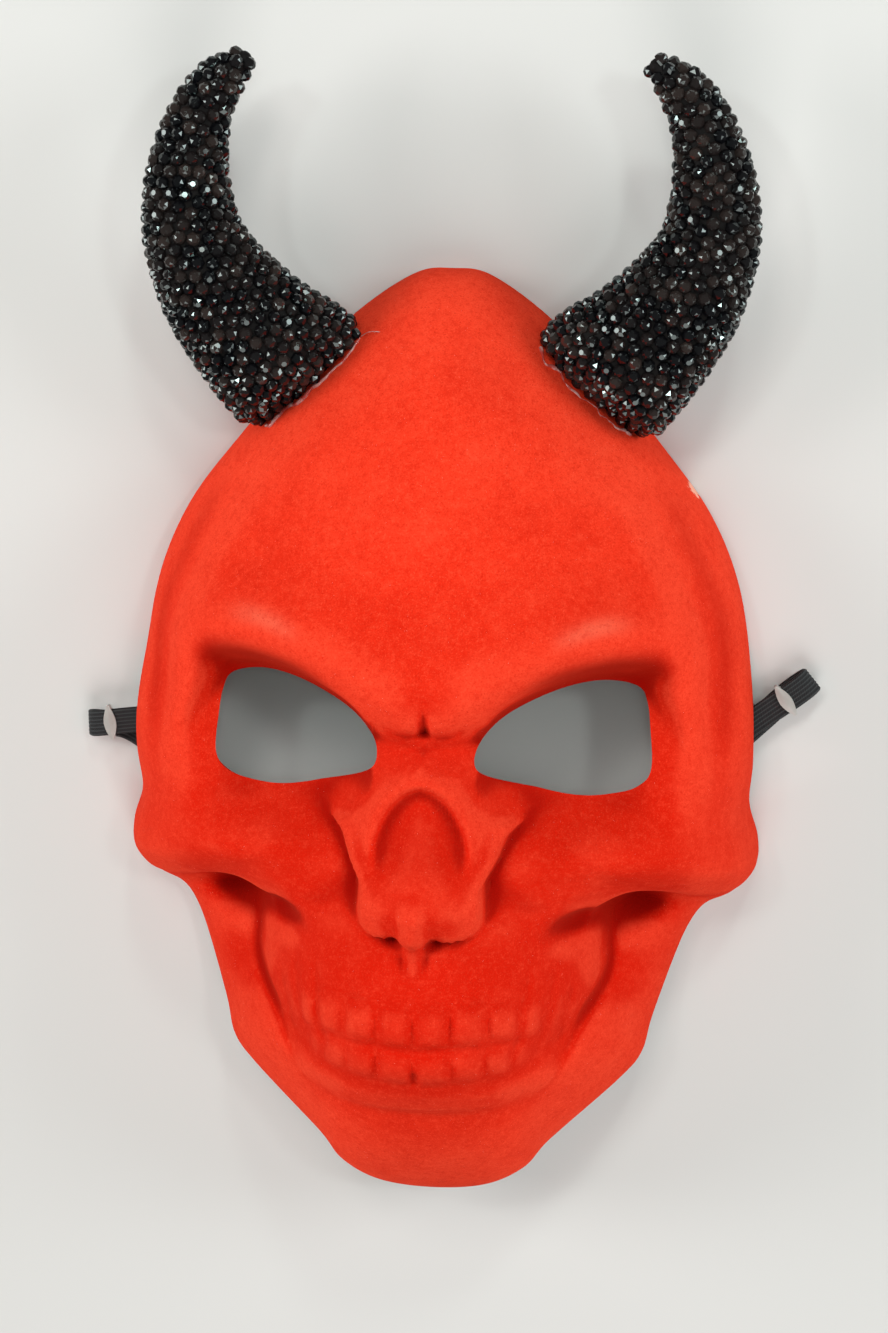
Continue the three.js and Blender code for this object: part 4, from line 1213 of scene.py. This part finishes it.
class DEVILMASK_OT_horns(bpy.types.Operator):
    """Add both horns with their coats of black stones"""
    bl_idname = "devilmask.horns"
    bl_label = "Horns"
    bl_options = {"REGISTER", "UNDO"}

    def execute(self, context):
        sizes = context.scene.devil_mask
        plug = dome_plug()
        core_material = horn_black()
        stones_material = stone_black(context.scene.devil_mask_colours)
        for place, horn in HORNS.items():
            core = self.core(f"horn_{place}_core", horn, plug)
            finish_piece(core, core_material, f"horn_{place}")
            stones = self.stones(f"horn_{place}_stones", horn, sizes)
            finish_piece(stones, stones_material)
        bpy.data.objects.remove(plug)
        return {"FINISHED"}

    def core(self, name, horn, plug):
        """The horn's own body under its stones, with its foot cut to the dome."""
        around, rings = 48, 110
        deselect()
        bpy.ops.mesh.primitive_grid_add(x_subdivisions=around, y_subdivisions=rings, size=2)
        core = named_primitive(name)
        flat = mesh_points(core)
        angle = (flat[:, 0] + 1) * math.pi
        share = (flat[:, 1] + 1) / 2 * (1 + CORE_TIP)
        share = np.where(share > 1, 1 + (share - 1) / CORE_TIP, share)
        points = horn.point(share, angle, STONE_INSET)
        points[:, 0] *= horn.side
        set_mesh_points(core, points * MM)
        edit_mesh(core, lambda: bpy.ops.mesh.remove_doubles(threshold=2e-5),
                  lambda: bpy.ops.mesh.select_all(action="DESELECT"),
                  lambda: bpy.ops.mesh.select_non_manifold(),
                  lambda: bpy.ops.mesh.fill(),
                  lambda: bpy.ops.mesh.select_all(action="SELECT"), turn_normals_out)
        apply_modifier(core, "BOOLEAN", operation="DIFFERENCE", object=plug, solver="EXACT")
        shade(core, 40)
        return core

    def stones(self, name, horn, sizes):
        """The horn's whole coat of stones, each leaning a little as it was set by hand."""
        rng = random.Random(horn.side)
        template, template_faces = stone_template()
        chosen, middles = stone_places(horn, sizes.stone_pitch / MM, rng)
        share, angle = chosen.T
        step = 1e-3
        ahead = (horn.point(share + step, angle, STONE_INSET)
                 - horn.point(share - step, angle, STONE_INSET))
        round_it = (horn.point(share, angle + step, STONE_INSET)
                    - horn.point(share, angle - step, STONE_INSET))
        out = np.cross(round_it, ahead)
        out /= np.linalg.norm(out, axis=1, keepdims=True)
        centre = horn.section(np.clip(share, 0, 1))[0]
        out *= np.sign(((middles - centre) * out).sum(1, keepdims=True))
        dome = face_height(middles[:, 0], middles[:, 1])
        reach = rim_reach(middles[:, 0], middles[:, 1])
        inside = np.hypot(middles[:, 0], middles[:, 1] - CENTRE_Y) < reach
        sunk = inside & (middles[:, 2] < dome + STONE_OVER_DOME)
        keep = ~sunk & (middles[:, 2] > STONE_LOWEST)
        points, faces, tones = [], [], []
        radius = sizes.stone / MM / 2
        for middle, normal in zip(middles[keep], out[keep]):
            normal = Vector(normal) + Vector([rng.gauss(0, STONE_TILT) for _ in range(3)])
            turn = normal.to_track_quat("Z", "Y").to_matrix()
            turn = np.array(turn @ Matrix.Rotation(rng.random() * 2 * math.pi, 3, "Z"))
            start = len(points) * len(template)
            points.append(middle + (template * radius * rng.uniform(0.94, 1.04)) @ turn.T)
            faces += [tuple(start + k for k in face) for face in template_faces]
            tones += [rng.random() ** 2] * len(template)
        points = np.vstack(points)
        points[:, 0] *= horn.side
        stones = mesh_object(name, points * MM, faces)
        add_share(stones, "tone", tones)
        if horn.side < 0:
            edit_mesh(stones, lambda: bpy.ops.mesh.flip_normals())
        return stones


# The glue along the horns' feet

def slow_swings(rng, count):
    """Random numbers from 0 to 1 that change little from one to the next."""
    drawn = np.convolve(rng.random(count + 6), np.ones(7) / 7, "valid")
    return np.clip(0.5 + 3 * (drawn - 0.5), 0, 1)


def tube(name, line, radii, side, sides=7):
    """A closed round strand of changing radius along a line, mirrored to its side."""
    ahead = np.gradient(line, axis=0)
    ahead /= np.linalg.norm(ahead, axis=1, keepdims=True)
    a = np.cross(ahead, [0, 0, 1.0])
    a /= np.linalg.norm(a, axis=1, keepdims=True)
    b = np.cross(a, ahead)
    turn = (np.arange(sides) * 2 * math.pi / sides)[None, :, None]
    rings = line[:, None] + radii[:, None, None] * (np.cos(turn) * a[:, None]
                                                    + np.sin(turn) * b[:, None])
    rings[..., 0] *= side
    last = (len(line) - 1) * sides
    faces = [(i + k, i + (k + 1) % sides, i + sides + (k + 1) % sides, i + sides + k)
             for i in range(0, last, sides) for k in range(sides)]
    faces += [tuple(range(sides)), tuple(last + k for k in reversed(range(sides)))]
    strand = mesh_object(name, rings.reshape(-1, 3) * MM, faces)
    edit_mesh(strand, turn_normals_out)
    return strand


class DEVILMASK_OT_glue(bpy.types.Operator):
    """Add the thin fringe of clear glue along each horn's foot"""
    bl_idname = "devilmask.glue"
    bl_label = "Glue fringe"
    bl_options = {"REGISTER", "UNDO"}

    def execute(self, context):
        material = clear_glue()
        for place, horn in HORNS.items():
            finish_piece(self.fringe(f"glue_{place}", horn), material)
        return {"FINISHED"}

    def fringe(self, name, horn):
        """A strand along the line where the horn comes out of the face, found by halving."""
        rng = np.random.default_rng(horn.side + 1)
        angles = np.linspace(0.10, 0.93, 60) * math.pi
        low, high = np.zeros_like(angles), np.full_like(angles, 0.4)
        for _ in range(24):
            middle = (low + high) / 2
            p = horn.point(middle, angles, STONE_INSET)
            reach = np.hypot(p[:, 0], p[:, 1] - CENTRE_Y) / rim_reach(p[:, 0], p[:, 1])
            under = (p[:, 2] < face_height(p[:, 0], p[:, 1])) & (reach < 1)
            low, high = np.where(under, middle, low), np.where(under, high, middle)
        line = horn.point(high, angles, 0.3)
        wander, swell = (slow_swings(rng, len(line)) for _ in range(2))
        line[:, :2] -= np.array([0.61, 0.79]) * (0.9 + 1.1 * wander[:, None])
        line[:, 2] = face_height(line[:, 0], line[:, 1]) + 0.1
        glue = tube(name, line, 0.12 + 0.6 * swell, horn.side)
        if horn.side < 0:
            start = line[-1]
            bent = [start + way for way in ((0, 0, 0), (-1.5, 1.4, 2), (-3.5, 2.2, 3), (-6, 1.8, 3))]
            hair = tube("stray_fibre", np.array(bent), np.full(4, 0.13), horn.side)
            activate(glue)
            hair.select_set(True)
            bpy.ops.object.join()
        apply_modifier(glue, "SUBSURF", levels=1, render_levels=1)
        shade(glue)
        return glue


# The floor and the lights

class DEVILMASK_OT_stage(bpy.types.Operator):
    """Add the pale floor and the studio lights"""
    bl_idname = "devilmask.stage"
    bl_label = "Floor and lights"
    bl_options = {"REGISTER", "UNDO"}

    # Each light's name, place, size, power and colour.
    LIGHTS = (
        ("key", (-0.16, 0.72, 1.05), 0.3, 2.8, (1.0, 0.97, 0.93)),
        ("fill", (0.15, -0.9, 0.95), 0.9, 8.6, (1.0, 0.98, 0.96)),
        ("strip_left", (-0.95, 0.2, 0.5), 0.45, 6.8, (1.0, 0.98, 0.96)),
        ("strip_right", (0.95, 0.3, 0.5), 0.45, 6.2, (0.96, 1.0, 1.0)),
        ("glint_above", (0.2, 0.95, 0.8), 0.12, 2.0, (0.86, 1.0, 0.96)),
        ("glint_near", (0.12, 0.3, 1.25), 0.1, 1.1, (0.9, 1.0, 0.97)),
        ("glint_left", (-0.45, 0.5, 1.05), 0.11, 1.5, (0.88, 1.0, 0.98)),
        ("glint_right", (0.5, 0.35, 1.05), 0.11, 1.5, (0.88, 1.0, 0.98)),
    )

    def execute(self, context):
        deselect()
        bpy.ops.mesh.primitive_plane_add(size=3, location=(0, 0, -0.0003))
        floor = named_primitive("floor")
        place_in_mesh(floor)
        floor.data.materials.append(floor_paint())
        for name, place, size, power, colour in self.LIGHTS:
            deselect()
            bpy.ops.object.light_add(type="AREA", location=place)
            light = context.object
            light.name = name + "_light"
            light.data.size = size
            light.data.energy = power
            light.data.color = colour
            light.rotation_euler = (-Vector(place)).to_track_quat("-Z", "Y").to_euler()
        world = bpy.data.worlds.new("studio")
        world.use_nodes = True
        background = world.node_tree.nodes["Background"]
        background.inputs["Color"].default_value = (1.0, 0.97, 0.94, 1)
        background.inputs["Strength"].default_value = 0.12
        context.scene.world = world
        context.scene.view_settings.view_transform = "Standard"
        return {"FINISHED"}


# The panel, and what the making calls in turn

MAKING = ("camera", "ties", "strap", "shell", "horns", "glue", "stage")


class DEVILMASK_PT_panel(bpy.types.Panel):
    """The mask's sizes, colours and pieces"""
    bl_idname = "DEVILMASK_PT_panel"
    bl_label = "Devil Mask"
    bl_space_type = "VIEW_3D"
    bl_region_type = "UI"
    bl_category = "Devil Mask"

    def draw(self, context):
        layout = self.layout
        for group in (context.scene.devil_mask, context.scene.devil_mask_colours):
            for key in type(group).__annotations__:
                layout.prop(group, key)
        for key in MAKING:
            layout.operator("devilmask." + key)


CLASSES = (
    DevilMaskSettings, DevilMaskColours, DEVILMASK_OT_camera, DEVILMASK_OT_strap,
    DEVILMASK_OT_ties, DEVILMASK_OT_shell, DEVILMASK_OT_horns, DEVILMASK_OT_glue,
    DEVILMASK_OT_stage, DEVILMASK_PT_panel,
)


def register():
    for cls in CLASSES:
        bpy.utils.register_class(cls)
    bpy.types.Scene.devil_mask = bpy.props.PointerProperty(type=DevilMaskSettings)
    bpy.types.Scene.devil_mask_colours = bpy.props.PointerProperty(type=DevilMaskColours)


def unregister():
    del bpy.types.Scene.devil_mask_colours
    del bpy.types.Scene.devil_mask
    for cls in reversed(CLASSES):
        bpy.utils.unregister_class(cls)


def main():
    register()
    for key in MAKING:
        getattr(bpy.ops.devilmask, key)()


if __name__ == "__main__":
    main()
